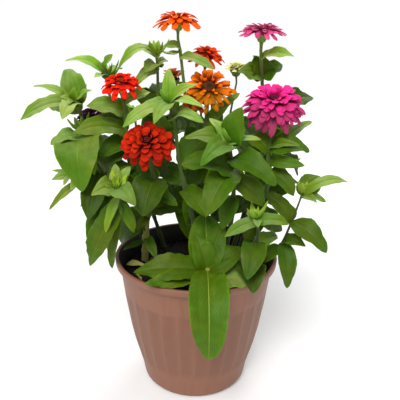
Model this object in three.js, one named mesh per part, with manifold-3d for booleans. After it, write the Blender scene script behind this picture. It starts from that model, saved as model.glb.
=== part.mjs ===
// Potted zinnia: a fluted plastic pot of soil, with leafy stems that carry blooms of several colours.
// Millimetres, +Z up. The origin is the middle of the pot's flat base, +X is to the right and
// +Y away from the side that is seen first.
import * as THREE from 'three'
import Module from 'manifold-3d'
import { mergeVertices } from 'three/addons/utils/BufferGeometryUtils.js'

const wasm = await Module()
wasm.setup()

// Pot
const potHeight = 169
const rimRadius = 100
const lipHeight = 10
const collarRadius = 94
const wallThickness = 3
const floorThickness = 4
const fluteCount = 28
const fluteDepth = 1.5
const fluteFoot = 32
const fluteTop = 131
const fluteFade = 9
const fluteArch = 3.6
const drainHoleRadius = 5
const drainHoleCircle = 40
const insideColumns = 20
const footHeight = 5
const wallBend = 62
const insideBend = 78
const cornerTop = 18
const cornerInset = 6
const collarFoot = 146
// Outer wall without its flutes, as radius and height from the foot to just under the lip
const wallProfile = [[61, 0], [65.5, 5], [69, 24], [72, 34], [77, 52], [82, 75], [88, 112], [92.5, 146]]

// Soil
const soilTop = 148
const soilRelief = 1.4
const crumbShares = [0.6]
const rootDepth = 20
const gap = 0.3

// Stems, leaves and blooms
const stemSides = 5
const stemStep = 50
const leafThickness = 1.4
const petalThickness = 1.3
const longLeaf = 80
const middlingLeaf = 52
const shortPetal = 20
const calyxLength = 11
const calyxRadius = 6.5
const neckLength = 5
const discSides = 8

const shades = {
  pot: [0x97695a, 0.6],
  soil: [0x1d1613, 0.95],
  leaf: [0x4f7a2c, 0.55],
  bloom_orange_top: [0xff5a0a, 0.6],
  bloom_pink: [0xe0497f, 0.6],
  bloom_red_orange: [0xe8421a, 0.6],
  bloom_orange_large: [0xe8740f, 0.6],
  bloom_faded: [0xa5531f, 0.7],
  bloom_orange_small: [0xc9481a, 0.6],
  bloom_magenta: [0xe8308a, 0.6],
  bloom_red_left: [0xea1808, 0.6],
  bloom_red_double: [0xd62a0e, 0.6],
  bloom_purple: [0x5e0f48, 0.6],
  bloom_cream: [0xe6e08c, 0.6],
  disc_brown: [0x4a2508, 0.8],
  disc_red: [0x6b130a, 0.8],
  disc_yellow: [0xe0a020, 0.7],
  disc_coral: [0xd8485a, 0.7],
  disc_dark: [0x4a1226, 0.8],
}

function material(shade) {
  const [color, roughness] = shades[shade]
  return new THREE.MeshStandardMaterial({ color, roughness, metalness: 0 })
}

// One plant: leafy stems as shoots, each with its route from the soil, its radius at foot and top,
// and its leaves. A leaf states the height of its joint, the reach from there to its tip, its width,
// the rise of its midrib over the straight line to the tip, and its turn about that line in degrees.
const leaf = (joint, reach, width, arch, turn) => ({ joint, reach, width, arch, turn })
const shoot = (route, radius, leaves, bloomName) => ({ route, radius, leaves, bloomName })
const stem = (name, shoots) => ({ name, shoots })
// A ring of petals: count, length, width, rise from the head's plane in degrees, and arch.
const ring = (count, length, width, rise, arch) => ({ count, length, width, rise, arch })
const disc = (name, shade, radius, height) => ({ name, shade, radius, height })
const bloom = (name, head, facing, rings, centre) => ({ name, head, facing, rings, centre })
// Leaf pairs by rule, each pair a quarter turn from the last, on the part of a stem that is not seen
const pairs = (stemName, low, high, count, size, turn) => ({ stemName, low, high, count, size, turn })

const stems = [
  stem('stem_left', [
    shoot([[-66, 20, 150], [-63, 6, 188], [-59, -12, 224], [-48, -32, 262], [-47, -42, 286]], [4.6, 2.4], [
      leaf(276, [-8, -36, -31], 39, 10, 0),
      leaf(253, [29, -17, -3], 18, 6, 0),
      leaf(188, [16, -24, -18], 13, 4, 0),
      leaf(221, [-10, -20, -11], 12, 4, 0),
      leaf(181, [-27, -15, -9], 8, 3, 0),
      leaf(224, [-22, -2, -20], 14, 5, 0),
    ], 'bloom_red_double'),
    shoot([[-62, 4, 198], [-81, -34, 242], [-87, -56, 254], [-88, -60, 272]], [2.4, 1.6], [
      leaf(251, [-40, -6, -77], 29, 6, 0),
      leaf(272, [-3, 15, 27], 14, 3, 0),
      leaf(272, [-23, -22, 4], 23, 9, 0),
      leaf(271, [24, -36, -3], 24, 10, 0),
      leaf(271, [13, 14, 25], 16, 4, 0),
      leaf(261, [-16, -7, -40], 11, 4, 0),
      leaf(252, [-18, 13, -88], 16, 6, 0),
      leaf(251, [16, -2, -35], 13, 5, 0),
    ]),
    shoot([
      [-63, 6, 192], [-88, -6, 229], [-105, -14, 252], [-112, -16, 272], [-121, -12, 307], [-135, -8, 324],
    ], [2.8, 1.8], [
      leaf(323, [5, -50, -51], 49, 22, 0),
      leaf(301, [6, -21, -21], 14, 6, 0),
      leaf(256, [-15, -37, -64], 25, 10, 0),
      leaf(265, [-24, -24, -23], 12, 4, 0),
    ]),
    shoot([[-112, -16, 267], [-130, -22, 269], [-147, -26, 276]], [1.6, 1.0], [
      leaf(276, [-22, 0, 7], 6, 3, 0),
      leaf(276, [-21, -8, -1], 10, 3, 0),
      leaf(276, [-5, -20, -4], 8, 3, 0),
      leaf(270, [-38, -11, -35], 10, 5, 0),
      leaf(270, [-10, -21, -5], 14, 4, 0),
    ]),
    shoot([[-61, -4, 210], [-78, -4, 264], [-82, -8, 313], [-83, -12, 356], [-84, -14, 367]], [2.8, 2.0], [
      leaf(346, [-38, -13, 12], 28, 3, 0),
      leaf(356, [29, 10, 19], 14, 4, 0),
      leaf(324, [-31, 23, 29], 21, 5, 0),
      leaf(324, [-53, -31, 7], 24, 10, 0),
      leaf(307, [-29, -19, -7], 24, 7, 0),
      leaf(283, [-25, -25, -13], 21, 7, 0),
      leaf(279, [23, -9, -19], 22, 6, 0),
      leaf(305, [24, 11, -18], 21, 6, 0),
      leaf(307, [-29, 9, -31], 32, 7, 0),
      leaf(289, [26, 16, -37], 33, 7, 0),
      leaf(269, [-26, 6, -33], 27, 7, 0),
    ], 'bloom_red_left'),
  ]),
  stem('stem_far_left', [
    shoot([
      [-64, 42, 150], [-75, 30, 196], [-97, 14, 237], [-119, 4, 288], [-134, 5, 335], [-140, 5, 354],
    ], [3.2, 1.8], [
      leaf(351, [-9, 19, 39], 29, 8, 0),
      leaf(351, [-51, 3, 19], 10, 13, 0),
      leaf(350, [-57, -33, -8], 21, 12, 0),
      leaf(350, [-9, -45, -4], 22, 8, 0),
      leaf(351, [3, 25, 20], 13, 3, 0),
      leaf(351, [33, -21, 12], 13, 5, 0),
      leaf(353, [-13, -19, 14], 12, 3, 0),
      leaf(353, [1, -17, 23], 13, 2, 0),
      leaf(353, [-4, -31, 8], 12, 3, 0),
      leaf(240, [-8, 48, 16], 26, 8, 0),
      leaf(285, [12, 50, 16], 26, 8, 0),
      leaf(262, [-38, 34, 10], 24, 7, 0),
    ]),
    shoot([[-92, 14, 236], [-99, 24, 293], [-103, 26, 341], [-107, 26, 381]], [2.4, 1.6], [
      leaf(381, [-47, -6, 21], 12, 17, 0),
      leaf(381, [9, -22, 29], 20, 5, 0),
      leaf(379, [-8, -30, -2], 12, 4, 0),
      leaf(380, [12, 30, 9], 16, 5, 0),
    ]),
    shoot([[-98, 22, 262], [-112, 38, 296]], [1.8, 1.4], [
    ], 'bloom_purple'),
  ]),
  stem('stem_front', [
    shoot([[9, -50, 150], [14, -66, 181]], [3.2, 2.6], [
      leaf(181, [-1, -56, -80], 43, 33, 0),
      leaf(181, [-82, -12, 6], 36, 5, 10),
      leaf(181, [41, 4, 25], 32, 8, 0),
      leaf(181, [-14, 10, 40], 27, 6, 0),
      leaf(181, [-68, -34, -8], 24, 3, 0),
      leaf(181, [-3, 36, 55], 42, 4, 0),
      leaf(181, [24, 24, 48], 26, 5, 0),
    ]),
  ]),
  stem('stem_front_right', [
    shoot([[56, -40, 150], [71, -62, 209], [66, -64, 233], [65, -65, 242]], [2.8, 1.6], [
      leaf(212, [-13, -41, -24], 28, 10, 0),
      leaf(238, [-35, -20, -11], 15, 8, 0),
      leaf(238, [36, 0, -2], 15, 7, 0),
      leaf(208, [28, 22, 3], 17, 5, 0),
      leaf(240, [-10, 13, 7], 11, 3, 0),
      leaf(240, [13, 15, 4], 11, 3, 0),
      leaf(240, [-1, -21, 2], 11, 4, 0),
      leaf(182, [-16, -46, -10], 34, 5, 0),
    ]),
  ]),
  stem('stem_right_centre', [
    shoot([[28, -36, 150], [42, -44, 250], [38, -50, 293], [34, -50, 325]], [3.4, 1.8], [
      leaf(295, [-30, -42, -38], 34, 12, 0),
      leaf(306, [45, -34, -17], 28, 10, 0),
      leaf(318, [-30, -32, -10], 24, 14, 0),
      leaf(321, [-48, -8, 9], 21, 8, 0),
      leaf(325, [11, -16, 42], 30, 4, 0),
      leaf(325, [-23, 2, 27], 16, 5, 0),
      leaf(325, [31, -16, 9], 11, 7, 0),
      leaf(293, [-32, 0, -13], 19, 6, 0),
      leaf(283, [34, -11, -30], 25, 8, 0),
      leaf(261, [-15, -17, -31], 20, 6, 0),
    ]),
  ]),
  stem('stem_magenta', [
    shoot([[54, -12, 150], [80, -22, 248], [80, -27, 298]], [3.4, 2.4], [
      leaf(310, [43, -10, 2], 29, 10, 0),
      leaf(298, [36, -21, -2], 15, 6, 30),
      leaf(307, [52, 36, 30], 16, 6, 0),
      leaf(307, [-26, 16, 13], 25, 8, 0),
      leaf(284, [28, -18, -21], 23, 8, 0),
      leaf(312, [29, -22, 10], 11, 5, 0),
      leaf(242, [-26, 25, -15], 26, 6, 0),
      leaf(221, [-14, -21, -20], 20, 5, 0),
      leaf(253, [24, 17, -28], 19, 5, 0),
      leaf(288, [-21, 32, -33], 27, 6, 0),
    ], 'bloom_magenta'),
  ]),
  stem('stem_centre', [
    shoot([
      [6, -20, 150], [0, -26, 208], [-15, -28, 261], [-22, -26, 308], [-27, -22, 341], [-32, -20, 360],
    ], [3.4, 1.6], [
      leaf(360, [-3, 12, 39], 16, 4, 0),
      leaf(360, [28, -16, 27], 17, 6, 0),
      leaf(360, [36, -36, 6], 11, 10, 0),
      leaf(358, [-49, -32, -13], 22, 9, 0),
      leaf(356, [-14, -38, -12], 20, 9, 0),
      leaf(340, [38, -34, 2], 20, 9, 0),
      leaf(323, [-18, 26, -55], 34, 8, 0),
      leaf(273, [-30, 16, -12], 25, 6, 0),
      leaf(253, [5, 14, -43], 23, 5, 0),
    ]),
  ]),
  stem('stem_orange', [
    shoot([[12, 2, 150], [5, 6, 217], [-7, 16, 284], [-15, 16, 356], [-21, 12, 409]], [3.4, 1.5], [
      leaf(412, [-18, -10, 6], 11, 6, 0),
      leaf(411, [-19, -26, 3], 7, -4, 0),
      leaf(406, [38, -30, -9], 14, 4, 0),
    ], 'bloom_orange_top'),
    shoot([[6, 6, 222], [8, 0, 277], [9, 2, 324], [10, 8, 354]], [2.6, 2.2], [
      leaf(330, [40, 13, 36], 15, 5, 0),
      leaf(289, [-17, -20, -26], 24, 8, 0),
      leaf(313, [-30, 13, -16], 35, 7, 0),
      leaf(334, [23, 11, -9], 24, 5, 0),
      leaf(283, [-24, 16, -24], 33, 7, 0),
      leaf(258, [16, 14, -43], 31, 7, 0),
    ], 'bloom_orange_large'),
    shoot([[8, -1, 286], [0, 6, 312]], [1.8, 1.4], [
    ], 'bloom_orange_small'),
  ]),
  stem('stem_back', [
    shoot([
      [0, 44, 150], [-12, 44, 186], [-32, 40, 240], [-47, 38, 290], [-49, 38, 352], [-49, 38, 396],
      [-50, 38, 405],
    ], [3.2, 1.5], [
      leaf(401, [-44, -24, -13], 16, 24, 0),
      leaf(403, [-30, 18, 13], 7, 5, 0),
      leaf(405, [2, 2, 20], 9, 2, 0),
      leaf(392, [-17, -22, -4], 21, 6, 0),
      leaf(390, [-14, -28, -19], 17, 5, 0),
      leaf(394, [12, 18, 2], 10, 3, 0),
      leaf(217, [15, -18, -41], 19, 6, 0),
      leaf(250, [17, -29, 32], 31, 6, 0),
      leaf(260, [-30, -19, 21], 28, 6, 0),
      leaf(303, [-23, 6, 26], 34, 6, 0),
      leaf(337, [-26, -4, 24], 30, 6, 0),
      leaf(351, [24, 2, -14], 28, 6, 0),
      leaf(303, [26, 10, 23], 31, 6, 0),
      leaf(227, [-34, 3, -13], 27, 6, 0),
    ]),
    shoot([[-6, 43, 196], [11, 46, 260], [18, 48, 314], [15, 46, 378]], [2.4, 1.8], [
    ], 'bloom_red_orange'),
    shoot([[-45, 38, 268], [-38, 43, 312]], [1.8, 1.4], [
    ], 'bloom_faded'),
    shoot([[20, 48, 276], [36, 44, 320]], [1.6, 1.1], [
    ], 'bloom_cream'),
  ]),
  stem('stem_pink', [
    shoot([[44, 26, 150], [82, 36, 305], [75, 30, 367]], [3.0, 1.8], [
      leaf(406, [33, -22, 7], 14, 6, 0),
      leaf(405, [0, 31, -7], 16, 4, 0),
      leaf(382, [-17, -1, 19], 29, 4, 0),
      leaf(383, [24, 2, 13], 27, 3, 0),
    ], 'bloom_pink'),
  ]),
  stem('stem_right', [
    shoot([
      [68, -22, 150], [95, -30, 184], [103, -32, 202], [111, -34, 227], [114, -36, 248], [119, -38, 263],
    ], [1.9, 1.1], [
      leaf(262, [11, 8, 31], 26, 5, 0),
      leaf(263, [52, 4, 18], 13, 20, 0),
      leaf(262, [25, -14, 1], 12, 4, 0),
      leaf(262, [2, -24, 2], 11, 3, 0),
      leaf(227, [-31, -10, 33], 24, 6, 0),
      leaf(227, [37, -24, -29], 26, 10, 0),
      leaf(202, [22, -18, 1], 17, 6, 0),
      leaf(200, [8, -22, -49], 22, 8, 0),
      leaf(193, [-21, -3, -18], 16, 4, 0),
    ]),
  ]),
  stem('stem_behind_left', [
    shoot([[-44, 60, 150], [-72, 84, 230], [-84, 96, 318]], [2.8, 1.4], [
      leaf(316, [-30, 24, 26], 20, 6, 0),
      leaf(316, [28, -16, 24], 20, 6, 0),
      leaf(316, [20, 32, 22], 20, 6, 0),
      leaf(316, [-22, -26, 20], 18, 6, 0),
    ]),
  ]),
  stem('stem_behind_middle', [
    shoot([[4, 70, 150], [6, 92, 240], [2, 104, 344]], [2.8, 1.4], [
      leaf(342, [-34, 14, 24], 20, 6, 0),
      leaf(342, [34, 10, 22], 20, 6, 0),
      leaf(342, [-4, 36, 22], 20, 6, 0),
      leaf(342, [6, -28, 24], 18, 6, 0),
    ]),
  ]),
  stem('stem_behind_right', [
    shoot([[56, 48, 150], [84, 70, 228], [98, 80, 306]], [2.8, 1.4], [
      leaf(304, [34, 18, 22], 20, 6, 0),
      leaf(304, [-28, 22, 24], 20, 6, 0),
      leaf(304, [6, 38, 20], 20, 6, 0),
      leaf(304, [14, -30, 22], 18, 6, 0),
    ]),
  ]),
]

const blooms = [
  bloom('bloom_orange_top', [-24, 10, 441], [0, -0.05, 1], [
    ring(11, 28, 8, -18, 3), ring(9, 21, 7, 10, 3),
  ], disc('disc_orange_top', 'disc_yellow', 4, 4)),
  bloom('bloom_pink', [68, 0, 431], [0.02, -0.05, 1], [
    ring(13, 27, 6.5, -6, 2), ring(10, 21, 6.5, 14, 2),
  ], disc('disc_pink', 'disc_coral', 5, 4)),
  bloom('bloom_red_orange', [8, 45, 400], [0.1, -0.25, 0.96], [
    ring(11, 23, 8, -14, 3), ring(8, 18, 8, 16, 2),
  ], null),
  bloom('bloom_orange_large', [11, 4, 369], [0.05, -0.72, 0.7], [
    ring(11, 31, 8.5, -8, 3), ring(10, 25, 8, 12, 2),
  ], disc('disc_orange_large', 'disc_brown', 6.5, 6)),
  bloom('bloom_faded', [-30, 34, 376], [0, -0.2, 0.98], [
    ring(7, 15, 8, 35, 2),
  ], null),
  bloom('bloom_orange_small', [-5, -2, 353], [-0.2, -0.6, 0.77], [
    ring(8, 15, 8, -22, 3),
  ], disc('disc_orange_small', 'disc_red', 4, 4)),
  bloom('bloom_magenta', [83, -17, 356], [0, -0.47, 0.88], [
    ring(12, 38, 14, -22, 5), ring(11, 35, 14, -4, 4), ring(9, 29, 13, 16, 3),
    ring(7, 22, 11, 36, 2), ring(4, 15, 9, 56, 1),
  ], disc('disc_magenta', 'disc_dark', 3.5, 3)),
  bloom('bloom_red_left', [-85, -15, 375], [0, -0.35, 0.94], [
    ring(10, 24, 8, -15, 3), ring(9, 18, 7, 14, 2),
  ], disc('disc_red_left', 'disc_yellow', 3.5, 3.5)),
  bloom('bloom_red_double', [-54, -46, 317], [0, -0.62, 0.78], [
    ring(12, 31, 10, -12, 4), ring(10, 27, 10, 8, 3), ring(8, 21, 9, 28, 2), ring(5, 14, 8, 50, 1),
  ], disc('disc_red_double', 'disc_red', 3.5, 4)),
  bloom('bloom_purple', [-128, 38, 327], [-0.2, -0.3, 0.93], [
    ring(9, 25, 9, -14, 3), ring(6, 17, 8, 14, 2),
  ], null),
  bloom('bloom_cream', [43, 35, 389], [-0.1, -0.3, 0.95], [
    ring(7, 13, 7, 8, 1),
  ], disc('disc_cream', 'disc_yellow', 3.5, 4)),
]

const leafPairs = [
  pairs('stem_orange', 250, 325, 2, 70, 20),
  pairs('stem_back', 225, 345, 3, 70, 80),
  pairs('stem_pink', 235, 340, 3, 70, 30),
  pairs('stem_behind_left', 220, 270, 2, 70, 30),
  pairs('stem_behind_middle', 225, 290, 2, 70, 75),
  pairs('stem_behind_right', 215, 262, 2, 70, 10),
]
// Leaves that are placed last, where the others leave room: over the rim and in the heart of the plant
const late = (stemName, shootIndex, one) => ({ stemName, shootIndex, one })
const lateLeaves = [
  late('stem_front', 0, leaf(181, [24, -40, -7], 24, 4, 0)),
  late('stem_centre', 0, leaf(262, [20, -28, -30], 24, 7, 0)),
  late('stem_left', 0, leaf(224, [-40, 14, -42], 36, 7, 0)),
  late('stem_pink', 0, leaf(214, [51, 8, -30], 36, 7, 0)),
  late('stem_right_centre', 0, leaf(292, [-53, -24, 16], 36, 7, 0)),
  late('stem_back', 1, leaf(223, [-57, -12, -16], 36, 7, 0)),
  late('stem_left', 2, leaf(276, [-7, -42, -42], 30, 7, 0)),
  late('stem_pink', 0, leaf(224, [-50, 15, -30], 30, 7, 0)),
  late('stem_behind_right', 0, leaf(289, [41, 11, -42], 36, 7, 0)),
  late('stem_left', 2, leaf(317, [-26, -36, 0], 26, 5, 0)),
  late('stem_pink', 0, leaf(382, [-28, -16, 4], 24, 5, 0)),
  late('stem_far_left', 0, leaf(341, [-44, 41, 0], 30, 7, 0)),
  late('stem_centre', 0, leaf(290, [37, 4, 37], 31, 6, 0)),
  late('stem_behind_middle', 0, leaf(291, [-41, -12, 42], 36, 7, 0)),
]
// Leaves by rule keep their tips behind this depth, since those in front of it are all listed
const frontLimit = -15
const pairWander = 14
const pairClimb = 12
const pairSpread = 0.15
const pairWidth = 0.56
const pairArch = 0.14

// Draws: a small seeded generator, so that every build gives the same plant
let drawState = 20117
function draw() {
  drawState = (drawState + 0x6d2b79f5) | 0
  let t = Math.imul(drawState ^ (drawState >>> 15), 1 | drawState)
  t = (t + Math.imul(t ^ (t >>> 7), 61 | t)) ^ t
  return ((t ^ (t >>> 14)) >>> 0) / 4294967296
}
const spread = (amount) => (draw() - 0.5) * 2 * amount
const radians = (degrees) => degrees * Math.PI / 180
const vector = (xyz) => new THREE.Vector3(xyz[0], xyz[1], xyz[2])

// Closed triangle lists and solids
function geometryOf(points, faces) {
  const geometry = new THREE.BufferGeometry()
  const positions = new Float32Array(points.flatMap((p) => [p.x, p.y, p.z]))
  geometry.setAttribute('position', new THREE.BufferAttribute(positions, 3))
  geometry.setIndex(faces.flat())
  return geometry
}

function solidOf(geometry) {
  const bare = geometry.clone()
  bare.deleteAttribute('normal')
  bare.deleteAttribute('uv')
  const merged = mergeVertices(bare, 1e-4)
  const vertProperties = new Float32Array(merged.attributes.position.array)
  const triVerts = new Uint32Array(merged.index.array)
  return new wasm.Manifold(new wasm.Mesh({ numProp: 3, vertProperties, triVerts }))
}

function geometryFrom(solid) {
  const mesh = solid.getMesh()
  const geometry = new THREE.BufferGeometry()
  geometry.setAttribute('position', new THREE.BufferAttribute(new Float32Array(mesh.vertProperties), 3))
  geometry.setIndex(new THREE.BufferAttribute(new Uint32Array(mesh.triVerts), 1))
  return geometry
}

// Rings of equal point counts, joined in order, with a point or a flat fan at each end
function loft(rings, start, end) {
  const sides = rings[0].length
  const points = [...rings.flat(), start, end]
  const faces = []
  const startIndex = rings.length * sides
  const endIndex = startIndex + 1
  for (let k = 0; k < sides; k += 1) {
    const next = (k + 1) % sides
    faces.push([startIndex, next, k])
    for (let row = 0; row + 1 < rings.length; row += 1) {
      const low = row * sides
      const high = low + sides
      faces.push([low + k, low + next, high + next])
      faces.push([low + k, high + next, high + k])
    }
    const last = (rings.length - 1) * sides
    faces.push([endIndex, last + k, last + next])
  }
  return geometryOf(points, faces)
}

// Blades: leaves and petals. The midrib is a flat arc from base to tip, and the outline is widest
// at the share `widest` of its length. A leaf's edges rise into a shallow channel and wave, and a
// petal is ridged along its middle over a flat back.
const leafForm = { widest: 0.42, fullness: 0.42, cup: 0.2, ruffle: 0.09 }
const petalForm = { widest: 0.78, fullness: 1.1, cup: -0.3, ruffle: 0 }
const wavesPerLeaf = 1.6

function makeBlade(base, reach, { width, arch, turn }, up, form) {
  const along = reach.clone().normalize()
  const face = up.clone().addScaledVector(along, -up.dot(along)).normalize()
  face.applyAxisAngle(along, radians(turn))
  const side = along.clone().cross(face)
  return { base, reach, width, arch, face, side, form, phase: 0 }
}

function halfWidth(blade, t) {
  const { widest, fullness } = blade.form
  const tail = fullness * (1 - widest) / widest
  const value = Math.pow(t / widest, fullness) * Math.pow((1 - t) / (1 - widest), tail)
  return blade.width / 2 * value
}

// The point at the share t of the length and s of the half width, lifted off the blade's mid sheet
function bladePoint(blade, t, s, lift) {
  const rise = blade.arch * 4 * t * (1 - t)
  const slope = blade.reach.clone().addScaledVector(blade.face, blade.arch * 4 * (1 - 2 * t)).normalize()
  const normal = blade.side.clone().cross(slope)
  const half = halfWidth(blade, t)
  const swell = Math.sin(2 * Math.PI * (wavesPerLeaf * t + blade.phase)) * Math.sign(s)
  const wave = blade.form.ruffle * blade.width * swell * Math.min(1, half / blade.width * 4)
  const height = s * s * (half * blade.form.cup + wave) + lift
  return blade.base.clone()
    .addScaledVector(blade.reach, t)
    .addScaledVector(blade.face, rise)
    .addScaledVector(blade.side, s * half)
    .addScaledVector(normal, height)
}

// Long leaves are bent at more stations than short ones.
function leafStations(length) {
  if (length > longLeaf) return [0.12, 0.36, 0.62, 0.86]
  if (length > middlingLeaf) return [0.17, 0.48, 0.8]
  return [0.28, 0.7]
}

// A leaf's closed skin: at each station a flat diamond of left edge, upper face, right edge and
// lower face, split alike on both faces.
function leafSolid(blade) {
  const stations = leafStations(blade.reach.length())
  const points = []
  const faces = []
  for (const t of stations) {
    points.push(bladePoint(blade, t, -1, 0))
    points.push(bladePoint(blade, t, 0, leafThickness / 2))
    points.push(bladePoint(blade, t, 1, 0))
    points.push(bladePoint(blade, t, 0, -leafThickness / 2))
  }
  for (let row = 0; row + 1 < stations.length; row += 1) {
    const [left, top, right, under] = [0, 1, 2, 3].map((k) => row * 4 + k)
    const [left2, top2, right2, under2] = [4, 5, 6, 7].map((k) => row * 4 + k)
    faces.push([left, top, top2], [left, top2, left2])
    faces.push([top, right, right2], [top, right2, top2])
    faces.push([left, left2, under2], [left, under2, under])
    faces.push([under, under2, right2], [under, right2, right])
  }
  const base = points.push(bladePoint(blade, 0, 0, 0)) - 1
  const tip = points.push(bladePoint(blade, 1, 0, 0)) - 1
  faces.push([base, 1, 0], [base, 2, 1], [base, 0, 3], [base, 3, 2])
  const last = (stations.length - 1) * 4
  faces.push([last, last + 1, tip], [last + 1, last + 2, tip])
  faces.push([last, tip, last + 3], [last + 3, tip, last + 2])
  return solidOf(geometryOf(points, faces))
}

function petalSolid(blade) {
  const stations = blade.reach.length() > shortPetal ? [0.45, 0.85] : [0.68]
  const rings = stations.map((t) => [
    bladePoint(blade, t, 1, 0),
    bladePoint(blade, t, -1, 0),
    bladePoint(blade, t, 0, petalThickness),
  ])
  return solidOf(loft(rings, bladePoint(blade, 0, 0, petalThickness / 2), bladePoint(blade, 1, 0, 0)))
}

// Stem routes
function curveOf(route) {
  return new THREE.CatmullRomCurve3(route.map(vector), false, 'catmullrom', 0.5)
}

// A stem runs in straight lengths between points of its curve, and its leaves sit on these
function lineOf(route) {
  const curve = curveOf(route)
  const steps = Math.max(2, Math.round(curve.getLength() / stemStep))
  return Array.from({ length: steps + 1 }, (_, k) => curve.getPoint(k / steps))
}

function alongLine(line, spacing) {
  const points = [line[0]]
  for (let k = 1; k < line.length; k += 1) {
    const count = Math.ceil(line[k].distanceTo(line[k - 1]) / spacing)
    for (let j = 1; j <= count; j += 1) points.push(line[k - 1].clone().lerp(line[k], j / count))
  }
  return points
}

function nearest(points, distance) {
  return points.reduce((best, point) => (distance(point) < distance(best) ? point : best))
}

function ringAround(centre, tangent, radius, sides) {
  const across = new THREE.Vector3(0, 1, 0).addScaledVector(tangent, -tangent.y).normalize()
  const other = tangent.clone().cross(across)
  return Array.from({ length: sides }, (_, k) => {
    const angle = 2 * Math.PI * k / sides
    return centre.clone()
      .addScaledVector(across, radius * Math.cos(angle))
      .addScaledVector(other, radius * Math.sin(angle))
  })
}

function headOf(flower) {
  const facing = vector(flower.facing).normalize()
  return { centre: vector(flower.head), facing }
}

// A shoot's round stem. One that starts at the soil goes on down as a straight root, and one that
// carries a bloom widens into its calyx.
function stemSolid(line, [low, high], flower) {
  const upright = new THREE.Vector3(0, 0, 1)
  const inSoil = line[0].z <= soilTop + potRoom
  const rings = []
  const start = line[0].clone()
  if (inSoil) {
    start.z = soilTop - rootDepth
    rings.push(ringAround(start, upright, low, stemSides))
  }
  line.forEach((point, k) => {
    const before = line[Math.max(0, k - 1)]
    const after = line[Math.min(line.length - 1, k + 1)]
    const tangent = inSoil && k === 0 ? upright : after.clone().sub(before).normalize()
    rings.push(ringAround(point, tangent, low + (high - low) * k / (line.length - 1), stemSides))
  })
  let end = line.at(-1)
  if (flower) {
    const { centre, facing } = headOf(flower)
    end = centre
    const cup = [[-calyxLength, high], [0, calyxRadius]]
    for (const [back, radius] of cup) {
      rings.push(ringAround(centre.clone().addScaledVector(facing, back), facing, radius, stemSides))
    }
  }
  return solidOf(loft(rings, start, end))
}

// Room: space is marked in small cells with the name of what is near, and a blade is in the clear
// if its points lie in no cell of another name, nor in the pot's wall or the soil.
const cell = 4
const cellSpan = 512
const markStep = 2
const sampleLength = 3
const sampleWidth = 6
const jointRoom = 9
const potRoom = 3
const soilRoom = 4
const swingStep = 6
const swingRounds = 6
const marks = new Map()

function cellKey(x, y, z) {
  const [column, row, level] = [x, y, z].map((value) => Math.floor(value / cell))
  return (column * cellSpan + row) * cellSpan + level
}

function mark(point, owner) {
  for (let dx = -1; dx <= 1; dx += 1) {
    for (let dy = -1; dy <= 1; dy += 1) {
      for (let dz = -1; dz <= 1; dz += 1) {
        const key = cellKey(point.x + dx * cell, point.y + dy * cell, point.z + dz * cell)
        const before = marks.get(key)
        marks.set(key, before === undefined || before === owner ? owner : 'several')
      }
    }
  }
}

function wallRadius(z) {
  for (let k = 1; k < wallProfile.length; k += 1) {
    const [r0, z0] = wallProfile[k - 1]
    const [r1, z1] = wallProfile[k]
    if (z <= z1) return r0 + (r1 - r0) * (z - z0) / (z1 - z0)
  }
  return rimRadius
}

function isFree(point, owner) {
  const before = marks.get(cellKey(point.x, point.y, point.z))
  if (before !== undefined && before !== owner) return false
  const radius = Math.hypot(point.x, point.y)
  if (point.z > potHeight + potRoom || radius > wallRadius(point.z) + potRoom) return true
  return radius < collarRadius - wallThickness - potRoom && point.z > soilTop + soilRoom
}

function bladeSamples(blade) {
  const length = blade.reach.length()
  const rows = Math.ceil(length / sampleLength)
  const columns = Math.max(1, Math.ceil(blade.width / sampleWidth))
  const samples = []
  for (let row = 0; row <= rows; row += 1) {
    const t = row / rows
    for (let column = -columns; column <= columns; column += 1) {
      samples.push(bladePoint(blade, t, column / columns, 0))
    }
  }
  return samples
}

// A leaf in its own place if that is free, or swung about its joint a few degrees at a time
function settleLeaf(base, reach, item, phase, owner, light) {
  const flat = Math.hypot(reach.x, reach.y)
  const bearing = Math.atan2(reach.y, reach.x)
  const climb = Math.atan2(reach.z, flat)
  const length = reach.length()
  for (let round = 0; round <= swingRounds; round += 1) {
    for (let way = 0; way < (round === 0 ? 1 : 8); way += 1) {
      const turnBy = radians(round * swingStep) * Math.cos(way * Math.PI / 4)
      const liftBy = radians(round * swingStep) * Math.sin(way * Math.PI / 4)
      const tilt = climb + liftBy
      const turned = new THREE.Vector3(
        length * Math.cos(tilt) * Math.cos(bearing + turnBy),
        length * Math.cos(tilt) * Math.sin(bearing + turnBy),
        length * Math.sin(tilt),
      )
      const blade = makeBlade(base, turned, item, light, leafForm)
      blade.phase = phase
      const samples = bladeSamples(blade).filter((p) => p.distanceTo(base) > jointRoom)
      if (samples.every((p) => isFree(p, owner))) return blade
    }
  }
  return null
}

// Blooms: rings of petals, each a little higher on the head's core, which is as wide as the disc
// of florets on top of it and a little more.
const ringHeight = (level) => 3 + level * 1.6
const coreSize = (levels) => 3.6 + levels * 0.9
const coreMargin = 3.2
const coreSides = 7
const bareInner = 1.2
const petalInset = 0.6
const petalStagger = 2.5
const petalLift = 1.5
const petalRoll = 6
const petalSpread = 0.06

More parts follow.
